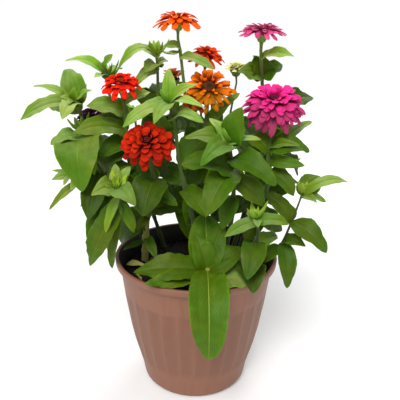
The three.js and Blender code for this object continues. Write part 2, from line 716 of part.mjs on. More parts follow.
function petalBlades(flower) {
  const inner = (flower.centre ? flower.centre.radius : bareInner) + petalInset
  const { centre, facing } = headOf(flower)
  const across = new THREE.Vector3(1, 0, 0).addScaledVector(facing, -facing.x).normalize()
  const other = facing.clone().cross(across)
  const blades = []
  flower.rings.forEach((row, level) => {
    for (let k = 0; k < row.count; k += 1) {
      const angle = 2 * Math.PI * (k + level * 0.5) / row.count + spread(petalSpread)
      const rise = radians(row.rise + (k % 2 === 0 ? petalStagger : -petalStagger) + spread(petalLift))
      const radial = across.clone().multiplyScalar(Math.cos(angle)).addScaledVector(other, Math.sin(angle))
      const length = row.length * (1 + spread(petalSpread))
      const base = centre.clone().addScaledVector(radial, inner).addScaledVector(facing, ringHeight(level))
      const reach = radial.clone().multiplyScalar(Math.cos(rise)).addScaledVector(facing, Math.sin(rise))
      reach.multiplyScalar(length - inner)
      blades.push(makeBlade(base, reach, { ...row, turn: spread(petalRoll) }, facing, petalForm))
    }
  })
  return blades
}

function coreSolid(flower) {
  const { centre, facing } = headOf(flower)
  const levels = flower.rings.length
  const top = ringHeight(levels)
  const size = Math.max(coreSize(levels), flower.centre ? flower.centre.radius + coreMargin : 0)
  const rings = [[gap, size * 0.8], [top * 0.45, size], [top, size * 0.9]]
  const outline = rings.map(([along, radius]) => {
    return ringAround(centre.clone().addScaledVector(facing, along), facing, radius, coreSides)
  })
  const start = centre.clone().addScaledVector(facing, gap)
  const end = centre.clone().addScaledVector(facing, top)
  return solidOf(loft(outline, start, end))
}

// The disc of florets: a low dome whose rim stands on the petals' core
function discSolid(flower) {
  const { centre, facing } = headOf(flower)
  const { radius, height } = flower.centre
  const foot = ringHeight(flower.rings.length) + gap
  const outline = [[0, 0.7], [0.4, 1], [1, 0.45]].map(([share, wide]) => {
    const along = foot + height * share
    return ringAround(centre.clone().addScaledVector(facing, along), facing, radius * wide, discSides)
  })
  const start = centre.clone().addScaledVector(facing, foot)
  const end = centre.clone().addScaledVector(facing, foot + height * 0.92)
  return solidOf(loft(outline, start, end))
}

// Pot: a tapered wall with shallow flutes, a plain collar and a turned-out lip, hollow to its floor
// Each flute has a column of points on its ridge and one along the middle of its hollow.
const potColumns = Array.from({ length: fluteCount * 2 }, (_, k) => {
  return { angle: Math.PI * k / fluteCount, hollow: k % 2 }
})

function fluteShare(z) {
  if (z < fluteFoot || z > fluteTop) return 0
  return Math.min(1, (z - fluteFoot) / fluteFade, (fluteTop - z) / fluteArch)
}

function potRing(radius, z) {
  return potColumns.map(({ angle, hollow }) => {
    const cut = radius - hollow * fluteDepth * fluteShare(z)
    return new THREE.Vector3(cut * Math.cos(angle), cut * Math.sin(angle), z)
  })
}

function lathe(profile, segments) {
  const points = profile.map(([r, z]) => new THREE.Vector2(r, z))
  return new THREE.LatheGeometry(points, segments).rotateX(Math.PI / 2)
}

function potSolid() {
  const lipFoot = potHeight - lipHeight
  const fluted = [fluteFoot, fluteFoot + fluteFade, wallBend, fluteTop - fluteArch, fluteTop]
  const outside = [0, footHeight, ...fluted, collarFoot].map((z) => potRing(wallRadius(z), z))
  outside.push(potRing(collarRadius, lipFoot - 2))
  outside.push(potRing(rimRadius - 0.6, lipFoot + 3))
  outside.push(potRing(rimRadius, potHeight))
  const start = new THREE.Vector3(0, 0, 0)
  const end = new THREE.Vector3(0, 0, potHeight)
  const inside = insideProfile()
  const mouth = [inside.at(-1)[0], potHeight + 5]
  const hollow = lathe([[0, floorThickness], ...inside, mouth, [0, potHeight + 5]], insideColumns)
  let pot = solidOf(loft(outside, start, end)).subtract(solidOf(hollow))
  for (let k = 0; k < 4; k += 1) {
    const angle = Math.PI / 4 + k * Math.PI / 2
    const hole = new THREE.CylinderGeometry(drainHoleRadius, drainHoleRadius, floorThickness * 3, 10)
    hole.rotateX(Math.PI / 2)
    hole.translate(drainHoleCircle * Math.cos(angle), drainHoleCircle * Math.sin(angle), 0)
    pot = pot.subtract(solidOf(hole))
  }
  return pot
}

// The inside wall runs parallel to the outside one, as radius and height from floor to lip
function insideProfile() {
  return [
    [wallRadius(cornerTop) - wallThickness - cornerInset, floorThickness],
    [wallRadius(cornerTop) - wallThickness, cornerTop],
    [wallRadius(insideBend) - wallThickness, insideBend],
    [collarRadius - wallThickness, potHeight - lipHeight],
    [rimRadius - wallThickness - 1.5, potHeight],
  ]
}

function insideRadius(z) {
  const profile = insideProfile()
  for (let k = 1; k < profile.length; k += 1) {
    const [r0, z0] = profile[k - 1]
    const [r1, z1] = profile[k]
    if (z <= z1) return r0 + (r1 - r0) * (z - z0) / (z1 - z0)
  }
  return rimRadius - wallThickness
}

// Soil: fills the pot to below its rim, crumbled on top, with a plain hole for each stem
function soilSolid(feet) {
  const ringOf = (radius, z) => Array.from({ length: insideColumns }, (_, k) => {
    const angle = 2 * Math.PI * k / insideColumns
    return new THREE.Vector3(radius * Math.cos(angle), radius * Math.sin(angle), z)
  })
  const clear = (z) => insideRadius(z) - gap
  const low = floorThickness + gap
  const rings = [low, cornerTop, insideBend, soilTop - 1].map((z) => ringOf(clear(z), z))
  for (const share of crumbShares) {
    const level = ringOf(clear(soilTop) * share, soilTop)
    level.forEach((point) => { point.z += spread(soilRelief) })
    rings.push(level)
  }
  let soil = solidOf(loft(rings, new THREE.Vector3(0, 0, low), new THREE.Vector3(0, 0, soilTop)))
  for (const { x, y, radius } of feet) {
    const size = (radius + gap) / Math.cos(Math.PI / stemSides)
    const hole = new THREE.CylinderGeometry(size, size, rootDepth * 2, stemSides)
    hole.rotateX(Math.PI / 2)
    hole.rotateZ(Math.PI)
    hole.translate(x, y, soilTop - gap)
    soil = soil.subtract(solidOf(hole))
  }
  return soil
}

// Assembly: blooms and stems take their room first, then the listed leaves, then those by rule
const flowers = blooms.map((flower) => ({ ...flower, blades: petalBlades(flower) }))
for (const flower of flowers) {
  for (const blade of flower.blades) bladeSamples(blade).forEach((p) => mark(p, flower.name))
}

// A side shoot starts inside the nearest stem that stands before it.
const plants = stems.map((item) => ({ ...item, solids: [], lines: [] }))
for (const plant of plants) {
  for (const item of plant.shoots) {
    const flower = flowers.find((one) => one.name === item.bloomName)
    const route = flower ? [...item.route, neckOf(flower)] : [...item.route]
    const before = plant.lines.flat()
    if (before.length > 0) route[0] = nearest(before, (p) => p.distanceTo(vector(item.route[0]))).toArray()
    const line = lineOf(route)
    plant.solids.push(stemSolid(line, item.radius, flower))
    plant.lines.push(alongLine(line, markStep))
    plant.lines.at(-1).forEach((point) => mark(point, plant.name))
  }
}

// Solids joined into one, with any small hollow that is closed in between them filled
function joined(solids) {
  const whole = solids.reduce((all, one) => all.add(one))
  const bodies = whole.decompose().filter((body) => body.volume() > 0)
  return bodies.reduce((all, one) => all.add(one))
}

function neckOf(flower) {
  const { centre, facing } = headOf(flower)
  return centre.clone().addScaledVector(facing, -calyxLength - neckLength).toArray()
}

// Blades turn their faces to the open side: to the front, or outward from this depth on
const frontLight = [0, -0.9, 1]
const backDepth = 55

function lightAt(base) {
  if (base.y < backDepth) return vector(frontLight)
  const outward = new THREE.Vector3(base.x, base.y, 0).normalize()
  return outward.add(new THREE.Vector3(0, 0, 1))
}

function addLeaf(plant, line, item) {
  const base = nearest(line.slice(0, -2), (p) => Math.abs(p.z - item.joint))
  const blade = settleLeaf(base, vector(item.reach), item, draw(), plant.name, lightAt(base))
  if (!blade) return
  bladeSamples(blade).forEach((p) => mark(p, plant.name))
  plant.solids.push(leafSolid(blade))
}

for (const plant of plants) {
  plant.shoots.forEach((item, index) => {
    item.leaves.forEach((one) => {
      addLeaf(plant, plant.lines[index], one)
    })
  })
}
for (const rule of leafPairs) {
  const plant = plants.find((item) => item.name === rule.stemName)
  for (let k = 0; k < rule.count; k += 1) {
    const joint = rule.low + (rule.high - rule.low) * k / Math.max(1, rule.count - 1)
    for (const half of [0, 180]) {
      const bearing = radians(rule.turn + 90 * k + half + spread(pairWander))
      const climb = radians(pairClimb + spread(pairWander))
      const length = rule.size * (1 + spread(pairSpread))
      const flat = length * Math.cos(climb)
      const reach = [flat * Math.cos(bearing), flat * Math.sin(bearing), length * Math.sin(climb)]
      const one = leaf(joint, reach, length * pairWidth, length * pairArch, 0)
      const tipDepth = nearest(plant.lines[0], (p) => Math.abs(p.z - joint)).y + one.reach[1]
      if (tipDepth > frontLimit) addLeaf(plant, plant.lines[0], one)
    }
  }
}
for (const { stemName, shootIndex, one } of lateLeaves) {
  const plant = plants.find((item) => item.name === stemName)
  addLeaf(plant, plant.lines[shootIndex], one)
}

const group = new THREE.Group()
function addPiece(name, solid, shade) {
  const piece = new THREE.Mesh(geometryFrom(solid), material(shade))
  piece.name = name
  group.add(piece)
}

addPiece('pot', potSolid(), 'pot')
addPiece('soil', soilSolid(stems.map((item) => {
  const [x, y] = item.shoots[0].route[0]
  return { x, y, radius: item.shoots[0].radius[0] }
})), 'soil')
for (const plant of plants) {
  addPiece(plant.name, joined(plant.solids), 'leaf')
}
for (const flower of flowers) {
  const petals = flower.blades.map(petalSolid)
  addPiece(flower.name, joined([coreSolid(flower), ...petals]), flower.name)
  if (flower.centre) addPiece(flower.centre.name, discSolid(flower), flower.centre.shade)
}

export default group
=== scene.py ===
import math
import random
from functools import partial

import bpy
import numpy as np
from mathutils import Matrix


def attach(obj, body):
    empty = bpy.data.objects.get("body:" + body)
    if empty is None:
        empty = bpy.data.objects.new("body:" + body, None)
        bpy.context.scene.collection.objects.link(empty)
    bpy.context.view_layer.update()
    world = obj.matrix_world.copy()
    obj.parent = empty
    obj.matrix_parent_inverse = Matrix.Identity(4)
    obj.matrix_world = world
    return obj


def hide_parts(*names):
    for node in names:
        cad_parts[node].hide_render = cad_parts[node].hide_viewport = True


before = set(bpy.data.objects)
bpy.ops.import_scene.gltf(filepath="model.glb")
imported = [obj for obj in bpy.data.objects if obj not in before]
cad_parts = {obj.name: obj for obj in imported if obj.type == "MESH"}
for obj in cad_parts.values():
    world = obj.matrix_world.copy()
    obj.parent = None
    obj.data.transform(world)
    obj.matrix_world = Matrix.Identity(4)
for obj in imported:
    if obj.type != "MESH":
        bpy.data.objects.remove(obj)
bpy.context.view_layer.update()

print("potted zinnia: frame loaded,", len(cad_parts), "nodes")

mm = 0.001
scene = bpy.context.scene
scene.view_settings.view_transform = "Standard"


# Directions and angles, in millimetres as the plant's data are

def vec(values):
    return np.array(values, float)


upward = vec([0, 0, 1])


def unit(v):
    return v / np.linalg.norm(v)


def turned(v, axis, angle):
    cosine, sine = math.cos(angle), math.sin(angle)
    return v * cosine + np.cross(axis, v) * sine + axis * np.dot(axis, v) * (1 - cosine)


def placed(place, *axes):
    return Matrix.Translation(place) @ Matrix(np.array(axes).T.tolist()).to_4x4()


def newObject(name, data):
    item = bpy.data.objects.new(name, data)
    scene.collection.objects.link(item)
    return item


# Camera: where the photo was taken from, found from the pot's outline in it

camera = {
    "place": (3.6, -640.0, 472.6),
    "pitch": -20.06,  # degrees from level
    "roll": 0.99,  # degrees
    "focal": 565.3,  # in pixels of a picture that is 400 wide
    "pictureWidth": 400,
    "sensor": 36.0,  # mm
    "clip": (0.01, 400),  # metres
}


def addCamera():
    pitch, roll = math.radians(camera["pitch"]), math.radians(camera["roll"])
    ahead = vec([0, math.cos(pitch), math.sin(pitch)])
    level = vec([1, 0, 0])
    above = np.cross(level, ahead)
    right = level * math.cos(roll) + above * math.sin(roll)
    up = above * math.cos(roll) - level * math.sin(roll)
    data = bpy.data.cameras.new("photoCamera")
    data.sensor_width = camera["sensor"]
    data.lens = camera["focal"] / camera["pictureWidth"] * camera["sensor"]
    data.clip_start, data.clip_end = camera["clip"]
    scene.camera = newObject("photoCamera", data)
    scene.camera.matrix_world = placed(vec(camera["place"]) * mm, right, up, -ahead)


addCamera()
print("camera placed")


# Materials: colours as they are seen, turned to linear, and one function that adds a node

def linear(code):
    channels = [int(code[k:k + 2], 16) / 255 for k in (1, 3, 5)]
    return [c / 12.92 if c <= 0.04045 else ((c + 0.055) / 1.055) ** 2.4 for c in channels] + [1.0]


def addNode(material, kind, settings=None, links=None):
    # Settings are the node's own, or values for its inputs by name or number. Links feed inputs, from
    # an output or from a node, which means its first output in use.
    node = material.node_tree.nodes.new("ShaderNode" + kind)
    for key, value in (settings or {}).items():
        if isinstance(value, str) and value.startswith("#"):
            value = linear(value)
        if isinstance(key, str) and key[0].islower():
            setattr(node, key, value)
        else:
            node.inputs[key].default_value = value
    for key, source in (links or {}).items():
        if isinstance(source, bpy.types.Node):
            source = next(output for output in source.outputs if output.enabled)
        material.node_tree.links.new(source, node.inputs[key])
    return node


# The inputs of a Mix node that are in use when it mixes colours
mixShare, mixFrom, mixTo = 0, 6, 7


def newMaterial(name, paint, *hexes):
    # A material whose nodes are added by the function paint, which returns the shader
    material = bpy.data.materials.new(name)
    material.use_nodes = True
    material.node_tree.nodes.clear()
    add = partial(addNode, material)
    add("OutputMaterial", None, {"Surface": paint(add, *hexes)})
    return material


def meshValues(add):
    # What a mesh tells its material
    tone = add("Attribute", {"attribute_name": "tone"})
    tones = add("SeparateColor", None, {0: tone}).outputs
    place = add("SeparateXYZ", None, {0: add("UVMap", {"uv_map": "bladePlace"})}).outputs
    return {
        "tones": [*tones, tone.outputs["Alpha"]], "across": place["X"], "along": place["Y"],
        "solid": add("TexCoord").outputs["Object"],
    }


# Studio: a pale floor that runs out of the picture, even daylight from all round, a broad soft sun
# above the front on the left, and a weak lamp behind that lights the leaves' edges

studio = {
    "floorHex": "#f1f1f1",
    "floorCloudHex": "#ededed",
    "floorRoughness": 0.7,
    "floorCloudScale": 3.0,  # per metre
    "floorSize": 240.0,  # metres
    "surroundHex": "#ffffff",
    "surroundStrength": 0.6,
    "sun": {"place": (-0.22, -0.85, 1.15), "strength": 2.7, "angle": 28, "hex": "#ffffff"},
    "backLamp": {"place": (0.35, 1.1, 1.2), "width": 0.8, "watts": 6.0, "hex": "#ffffff"},
    "aim": (0.0, 0.0, 0.22),
}


def addLamp(name, kind, place, code):
    data = bpy.data.lights.new(name, kind)
    data.color = linear(code)[:3]
    back = unit(vec(place) - vec(studio["aim"]))
    side = unit(np.cross(upward, back))
    newObject(name, data).matrix_world = placed(place, side, np.cross(back, side), back)
    return data


# Painted board, matt: a very even pale grey with the faintest cloudiness

def paintFloor(add):
    solid = add("TexCoord").outputs["Object"]
    cloud = add("TexNoise", {"Scale": studio["floorCloudScale"], "Detail": 2.0}, {"Vector": solid})
    hexes = {mixFrom: studio["floorHex"], mixTo: studio["floorCloudHex"]}
    tint = add("Mix", {"data_type": "RGBA", **hexes}, {mixShare: cloud})
    return add("BsdfPrincipled", {"Roughness": studio["floorRoughness"]}, {"Base Color": tint})


def addStudio():
    world = bpy.data.worlds.new("paleSurround")
    world.use_nodes = True
    background = world.node_tree.nodes["Background"]
    background.inputs["Color"].default_value = linear(studio["surroundHex"])
    background.inputs["Strength"].default_value = studio["surroundStrength"]
    scene.world = world
    sun, lamp = studio["sun"], studio["backLamp"]
    light = addLamp("softSun", "SUN", sun["place"], sun["hex"])
    light.energy = sun["strength"]
    light.angle = math.radians(sun["angle"])
    light = addLamp("backLamp", "AREA", lamp["place"], lamp["hex"])
    light.shape = "DISK"
    light.size = lamp["width"]
    light.energy = lamp["watts"]
    half = studio["floorSize"] / 2
    corners = [(-half, -half, 0), (half, -half, 0), (half, half, 0), (-half, half, 0)]
    mesh = bpy.data.meshes.new("studioFloor")
    mesh.from_pydata(corners, [], [(0, 1, 2, 3)])
    mesh.materials.append(newMaterial("paleMattPaintedBoard", paintFloor))
    floor = newObject("studioFloor", mesh)


addStudio()
print("studio lit")


# The plant as the frame has it: its stems, leaves and petals are worked out here again, by the same
# rule and the same draws, so that each fine piece stands where its solid is.

plant = {
    "drawState": 20117,  # where the row of draws begins
    "stemStep": 50,  # mm between the bends of a stem
    "markStep": 2,  # mm between the marks along a stem
    "cell": 4,  # mm, the cells in which room is kept for each stem and bloom
    "sampleLength": 3,  # mm between a blade's samples, along it
    "sampleWidth": 6,
    "jointRoom": 9,  # mm round its joint where a leaf may touch others
    "potRoom": 3,
    "soilRoom": 4,
    "swingStep": 6,  # degrees by which a leaf is swung aside to find room
    "swingRounds": 6,
    "frontLimit": -15,  # leaves of the pairs stay behind this depth
    "backDepth": 55,
    "frontLight": (0, -0.9, 1),
    "firstRing": 3,  # height of the lowest petals over the cup
    "ringStep": 1.6,
    "heartRadius": 1.2,  # of a bloom without a disc
    "petalGap": 0.6,
    "calyxLength": 11,
    "calyxRadius": 6.5,
    "neckLength": 5,
    "rootDepth": 20,
}
pot = {
    "height": 169,
    "rimRadius": 100,
    "collarRadius": 94,
    "wall": 3,
    "flutes": 28,
    "columnsPerFlute": 10,
    "fluteDepth": 1.6,
    "fluteFoot": 30,
    "fluteFade": 13,
    "fluteTop": 131,
    "fluteTopFade": 2.4,
    "fluteArch": 3.5,
    "holeCircle": 40,
    "holeRadius": 5,
    # Outer wall as radius and height
    "profile": [(61, 0), (65.5, 5), (69, 24), (72, 34), (77, 52), (82, 75), (88, 112), (92.5, 146)],
}
soil = {"top": 148, "rows": 34, "columns": 120, "relief": 2.2, "crumbs": 420}
leafForm = {"widest": 0.42, "fullness": 0.42, "cup": 0.2, "ruffle": 0.09}
petalForm = {"widest": 0.78, "fullness": 1.1, "cup": -0.3, "ruffle": 0}
petalRule = {"wander": 0.06, "stagger": 2.5, "tilt": 1.5, "spread": 0.06, "turn": 6}
wavesPerLeaf = 1.6


def leaf(joint, reach, width, arch, turn=0):
    return {"joint": joint, "reach": reach, "width": width, "arch": arch, "turn": turn}


def shoot(route, radius, leaves, bloomName=None):
    return {"route": route, "radius": radius, "leaves": leaves, "bloomName": bloomName}


def stem(name, shoots):
    return {"name": name, "shoots": shoots}


def ring(count, length, width, rise, arch):
    return {"count": count, "length": length, "width": width, "rise": rise, "arch": arch}


def disc(name, radius, height):
    return {"name": name, "radius": radius, "height": height}


def bloom(name, head, facing, rings, centre):
    return {"name": name, "head": head, "facing": facing, "rings": rings, "centre": centre}


def pairs(stemName, low, high, count, size, turn):
    return {"stemName": stemName, "low": low, "high": high, "count": count, "size": size, "turn": turn}


def late(stemName, shootIndex, one):
    return {"stemName": stemName, "shootIndex": shootIndex, "leaf": one}


stems = [
    stem("stem_left", [
        shoot([[-66, 20, 150], [-63, 6, 188], [-59, -12, 224], [-48, -32, 262], [-47, -42, 286]],
              [4.6, 2.4], [
            leaf(276, [-8, -36, -31], 39, 10), leaf(253, [29, -17, -3], 18, 6),
            leaf(188, [16, -24, -18], 13, 4), leaf(221, [-10, -20, -11], 12, 4),
            leaf(181, [-27, -15, -9], 8, 3), leaf(224, [-22, -2, -20], 14, 5),
        ], "bloom_red_double"),
        shoot([[-62, 4, 198], [-81, -34, 242], [-87, -56, 254], [-88, -60, 272]], [2.4, 1.6], [
            leaf(251, [-40, -6, -77], 29, 6), leaf(272, [-3, 15, 27], 14, 3),
            leaf(272, [-23, -22, 4], 23, 9), leaf(271, [24, -36, -3], 24, 10),
            leaf(271, [13, 14, 25], 16, 4), leaf(261, [-16, -7, -40], 11, 4),
            leaf(252, [-18, 13, -88], 16, 6), leaf(251, [16, -2, -35], 13, 5),
        ]),
        shoot([
            [-63, 6, 192], [-88, -6, 229], [-105, -14, 252], [-112, -16, 272], [-121, -12, 307],
            [-135, -8, 324],
        ], [2.8, 1.8], [
            leaf(323, [5, -50, -51], 49, 22), leaf(301, [6, -21, -21], 14, 6),
            leaf(256, [-15, -37, -64], 25, 10), leaf(265, [-24, -24, -23], 12, 4),
        ]),
        shoot([[-112, -16, 267], [-130, -22, 269], [-147, -26, 276]], [1.6, 1.0], [
            leaf(276, [-22, 0, 7], 6, 3), leaf(276, [-21, -8, -1], 10, 3),
            leaf(276, [-5, -20, -4], 8, 3), leaf(270, [-38, -11, -35], 10, 5),
            leaf(270, [-10, -21, -5], 14, 4),
        ]),
        shoot([[-61, -4, 210], [-78, -4, 264], [-82, -8, 313], [-83, -12, 356], [-84, -14, 367]],
              [2.8, 2.0], [
            leaf(346, [-38, -13, 12], 28, 3), leaf(356, [29, 10, 19], 14, 4),
            leaf(324, [-31, 23, 29], 21, 5), leaf(324, [-53, -31, 7], 24, 10),
            leaf(307, [-29, -19, -7], 24, 7), leaf(283, [-25, -25, -13], 21, 7),
            leaf(279, [23, -9, -19], 22, 6), leaf(305, [24, 11, -18], 21, 6),
            leaf(307, [-29, 9, -31], 32, 7), leaf(289, [26, 16, -37], 33, 7),
            leaf(269, [-26, 6, -33], 27, 7),
        ], "bloom_red_left"),
    ]),
    stem("stem_far_left", [
        shoot([
            [-64, 42, 150], [-75, 30, 196], [-97, 14, 237], [-119, 4, 288], [-134, 5, 335], [-140, 5, 354],
        ], [3.2, 1.8], [
            leaf(351, [-9, 19, 39], 29, 8), leaf(351, [-51, 3, 19], 10, 13),
            leaf(350, [-57, -33, -8], 21, 12), leaf(350, [-9, -45, -4], 22, 8),
            leaf(351, [3, 25, 20], 13, 3), leaf(351, [33, -21, 12], 13, 5),
            leaf(353, [-13, -19, 14], 12, 3), leaf(353, [1, -17, 23], 13, 2),
            leaf(353, [-4, -31, 8], 12, 3), leaf(240, [-8, 48, 16], 26, 8),
            leaf(285, [12, 50, 16], 26, 8), leaf(262, [-38, 34, 10], 24, 7),
        ]),
        shoot([[-92, 14, 236], [-99, 24, 293], [-103, 26, 341], [-107, 26, 381]], [2.4, 1.6], [
            leaf(381, [-47, -6, 21], 12, 17), leaf(381, [9, -22, 29], 20, 5),
            leaf(379, [-8, -30, -2], 12, 4), leaf(380, [12, 30, 9], 16, 5),
        ]),
        shoot([[-98, 22, 262], [-112, 38, 296]], [1.8, 1.4], [], "bloom_purple"),
    ]),
    stem("stem_front", [
        shoot([[9, -50, 150], [14, -66, 181]], [3.2, 2.6], [
            leaf(181, [-1, -56, -80], 43, 33), leaf(181, [-82, -12, 6], 36, 5, 10),
            leaf(181, [41, 4, 25], 32, 8), leaf(181, [-14, 10, 40], 27, 6),
            leaf(181, [-68, -34, -8], 24, 3), leaf(181, [-3, 36, 55], 42, 4),
            leaf(181, [24, 24, 48], 26, 5),
        ]),
    ]),
    stem("stem_front_right", [
        shoot([[56, -40, 150], [71, -62, 209], [66, -64, 233], [65, -65, 242]], [2.8, 1.6], [
            leaf(212, [-13, -41, -24], 28, 10), leaf(238, [-35, -20, -11], 15, 8),
            leaf(238, [36, 0, -2], 15, 7), leaf(208, [28, 22, 3], 17, 5),
            leaf(240, [-10, 13, 7], 11, 3), leaf(240, [13, 15, 4], 11, 3),
            leaf(240, [-1, -21, 2], 11, 4), leaf(182, [-16, -46, -10], 34, 5),
        ]),
    ]),
    stem("stem_right_centre", [
        shoot([[28, -36, 150], [42, -44, 250], [38, -50, 293], [34, -50, 325]], [3.4, 1.8], [
            leaf(295, [-30, -42, -38], 34, 12), leaf(306, [45, -34, -17], 28, 10),
            leaf(318, [-30, -32, -10], 24, 14), leaf(321, [-48, -8, 9], 21, 8),
            leaf(325, [11, -16, 42], 30, 4), leaf(325, [-23, 2, 27], 16, 5),
            leaf(325, [31, -16, 9], 11, 7), leaf(293, [-32, 0, -13], 19, 6),
            leaf(283, [34, -11, -30], 25, 8), leaf(261, [-15, -17, -31], 20, 6),
        ]),
    ]),
    stem("stem_magenta", [
        shoot([[54, -12, 150], [80, -22, 248], [80, -27, 298]], [3.4, 2.4], [
            leaf(310, [43, -10, 2], 29, 10), leaf(298, [36, -21, -2], 15, 6, 30),
            leaf(307, [52, 36, 30], 16, 6), leaf(307, [-26, 16, 13], 25, 8),
            leaf(284, [28, -18, -21], 23, 8), leaf(312, [29, -22, 10], 11, 5),
            leaf(242, [-26, 25, -15], 26, 6), leaf(221, [-14, -21, -20], 20, 5),
            leaf(253, [24, 17, -28], 19, 5), leaf(288, [-21, 32, -33], 27, 6),
        ], "bloom_magenta"),
    ]),
    stem("stem_centre", [
        shoot([
            [6, -20, 150], [0, -26, 208], [-15, -28, 261], [-22, -26, 308], [-27, -22, 341],
            [-32, -20, 360],
        ], [3.4, 1.6], [
            leaf(360, [-3, 12, 39], 16, 4), leaf(360, [28, -16, 27], 17, 6),
            leaf(360, [36, -36, 6], 11, 10), leaf(358, [-49, -32, -13], 22, 9),
            leaf(356, [-14, -38, -12], 20, 9), leaf(340, [38, -34, 2], 20, 9),
            leaf(323, [-18, 26, -55], 34, 8), leaf(273, [-30, 16, -12], 25, 6),
            leaf(253, [5, 14, -43], 23, 5),
        ]),
    ]),
    stem("stem_orange", [
        shoot([[12, 2, 150], [5, 6, 217], [-7, 16, 284], [-15, 16, 356], [-21, 12, 409]], [3.4, 1.5], [
            leaf(412, [-18, -10, 6], 11, 6), leaf(411, [-19, -26, 3], 7, -4),
            leaf(406, [38, -30, -9], 14, 4),
        ], "bloom_orange_top"),
        shoot([[6, 6, 222], [8, 0, 277], [9, 2, 324], [10, 8, 354]], [2.6, 2.2], [
            leaf(330, [40, 13, 36], 15, 5), leaf(289, [-17, -20, -26], 24, 8),
            leaf(313, [-30, 13, -16], 35, 7), leaf(334, [23, 11, -9], 24, 5),
            leaf(283, [-24, 16, -24], 33, 7), leaf(258, [16, 14, -43], 31, 7),
        ], "bloom_orange_large"),
        shoot([[8, -1, 286], [0, 6, 312]], [1.8, 1.4], [], "bloom_orange_small"),
    ]),
    stem("stem_back", [
        shoot([
            [0, 44, 150], [-12, 44, 186], [-32, 40, 240], [-47, 38, 290], [-49, 38, 352], [-49, 38, 396],
            [-50, 38, 405],
        ], [3.2, 1.5], [
            leaf(401, [-44, -24, -13], 16, 24), leaf(403, [-30, 18, 13], 7, 5),
            leaf(405, [2, 2, 20], 9, 2), leaf(392, [-17, -22, -4], 21, 6),
            leaf(390, [-14, -28, -19], 17, 5), leaf(394, [12, 18, 2], 10, 3),
            leaf(217, [15, -18, -41], 19, 6), leaf(250, [17, -29, 32], 31, 6),
            leaf(260, [-30, -19, 21], 28, 6), leaf(303, [-23, 6, 26], 34, 6),
            leaf(337, [-26, -4, 24], 30, 6), leaf(351, [24, 2, -14], 28, 6),
            leaf(303, [26, 10, 23], 31, 6), leaf(227, [-34, 3, -13], 27, 6),
        ]),
        shoot([[-6, 43, 196], [11, 46, 260], [18, 48, 314], [15, 46, 378]], [2.4, 1.8], [],
              "bloom_red_orange"),
        shoot([[-45, 38, 268], [-38, 43, 312]], [1.8, 1.4], [], "bloom_faded"),
        shoot([[20, 48, 276], [36, 44, 320]], [1.6, 1.1], [], "bloom_cream"),
    ]),
    stem("stem_pink", [
        shoot([[44, 26, 150], [82, 36, 305], [75, 30, 367]], [3.0, 1.8], [
            leaf(406, [33, -22, 7], 14, 6), leaf(405, [0, 31, -7], 16, 4),
            leaf(382, [-17, -1, 19], 29, 4), leaf(383, [24, 2, 13], 27, 3),
        ], "bloom_pink"),
    ]),
    stem("stem_right", [
        shoot([
            [68, -22, 150], [95, -30, 184], [103, -32, 202], [111, -34, 227], [114, -36, 248],
            [119, -38, 263],
        ], [1.9, 1.1], [
            leaf(262, [11, 8, 31], 26, 5), leaf(263, [52, 4, 18], 13, 20),
            leaf(262, [25, -14, 1], 12, 4), leaf(262, [2, -24, 2], 11, 3),
            leaf(227, [-31, -10, 33], 24, 6), leaf(227, [37, -24, -29], 26, 10),
            leaf(202, [22, -18, 1], 17, 6), leaf(200, [8, -22, -49], 22, 8),
            leaf(193, [-21, -3, -18], 16, 4),
        ]),
    ]),
    stem("stem_behind_left", [
        shoot([[-44, 60, 150], [-72, 84, 230], [-84, 96, 318]], [2.8, 1.4], [
            leaf(316, [-30, 24, 26], 20, 6), leaf(316, [28, -16, 24], 20, 6),
            leaf(316, [20, 32, 22], 20, 6), leaf(316, [-22, -26, 20], 18, 6),
        ]),
    ]),
    stem("stem_behind_middle", [
        shoot([[4, 70, 150], [6, 92, 240], [2, 104, 344]], [2.8, 1.4], [
            leaf(342, [-34, 14, 24], 20, 6), leaf(342, [34, 10, 22], 20, 6),
            leaf(342, [-4, 36, 22], 20, 6), leaf(342, [6, -28, 24], 18, 6),
        ]),
    ]),
    stem("stem_behind_right", [
        shoot([[56, 48, 150], [84, 70, 228], [98, 80, 306]], [2.8, 1.4], [
            leaf(304, [34, 18, 22], 20, 6), leaf(304, [-28, 22, 24], 20, 6),
            leaf(304, [6, 38, 20], 20, 6), leaf(304, [14, -30, 22], 18, 6),
        ]),
    ]),
]

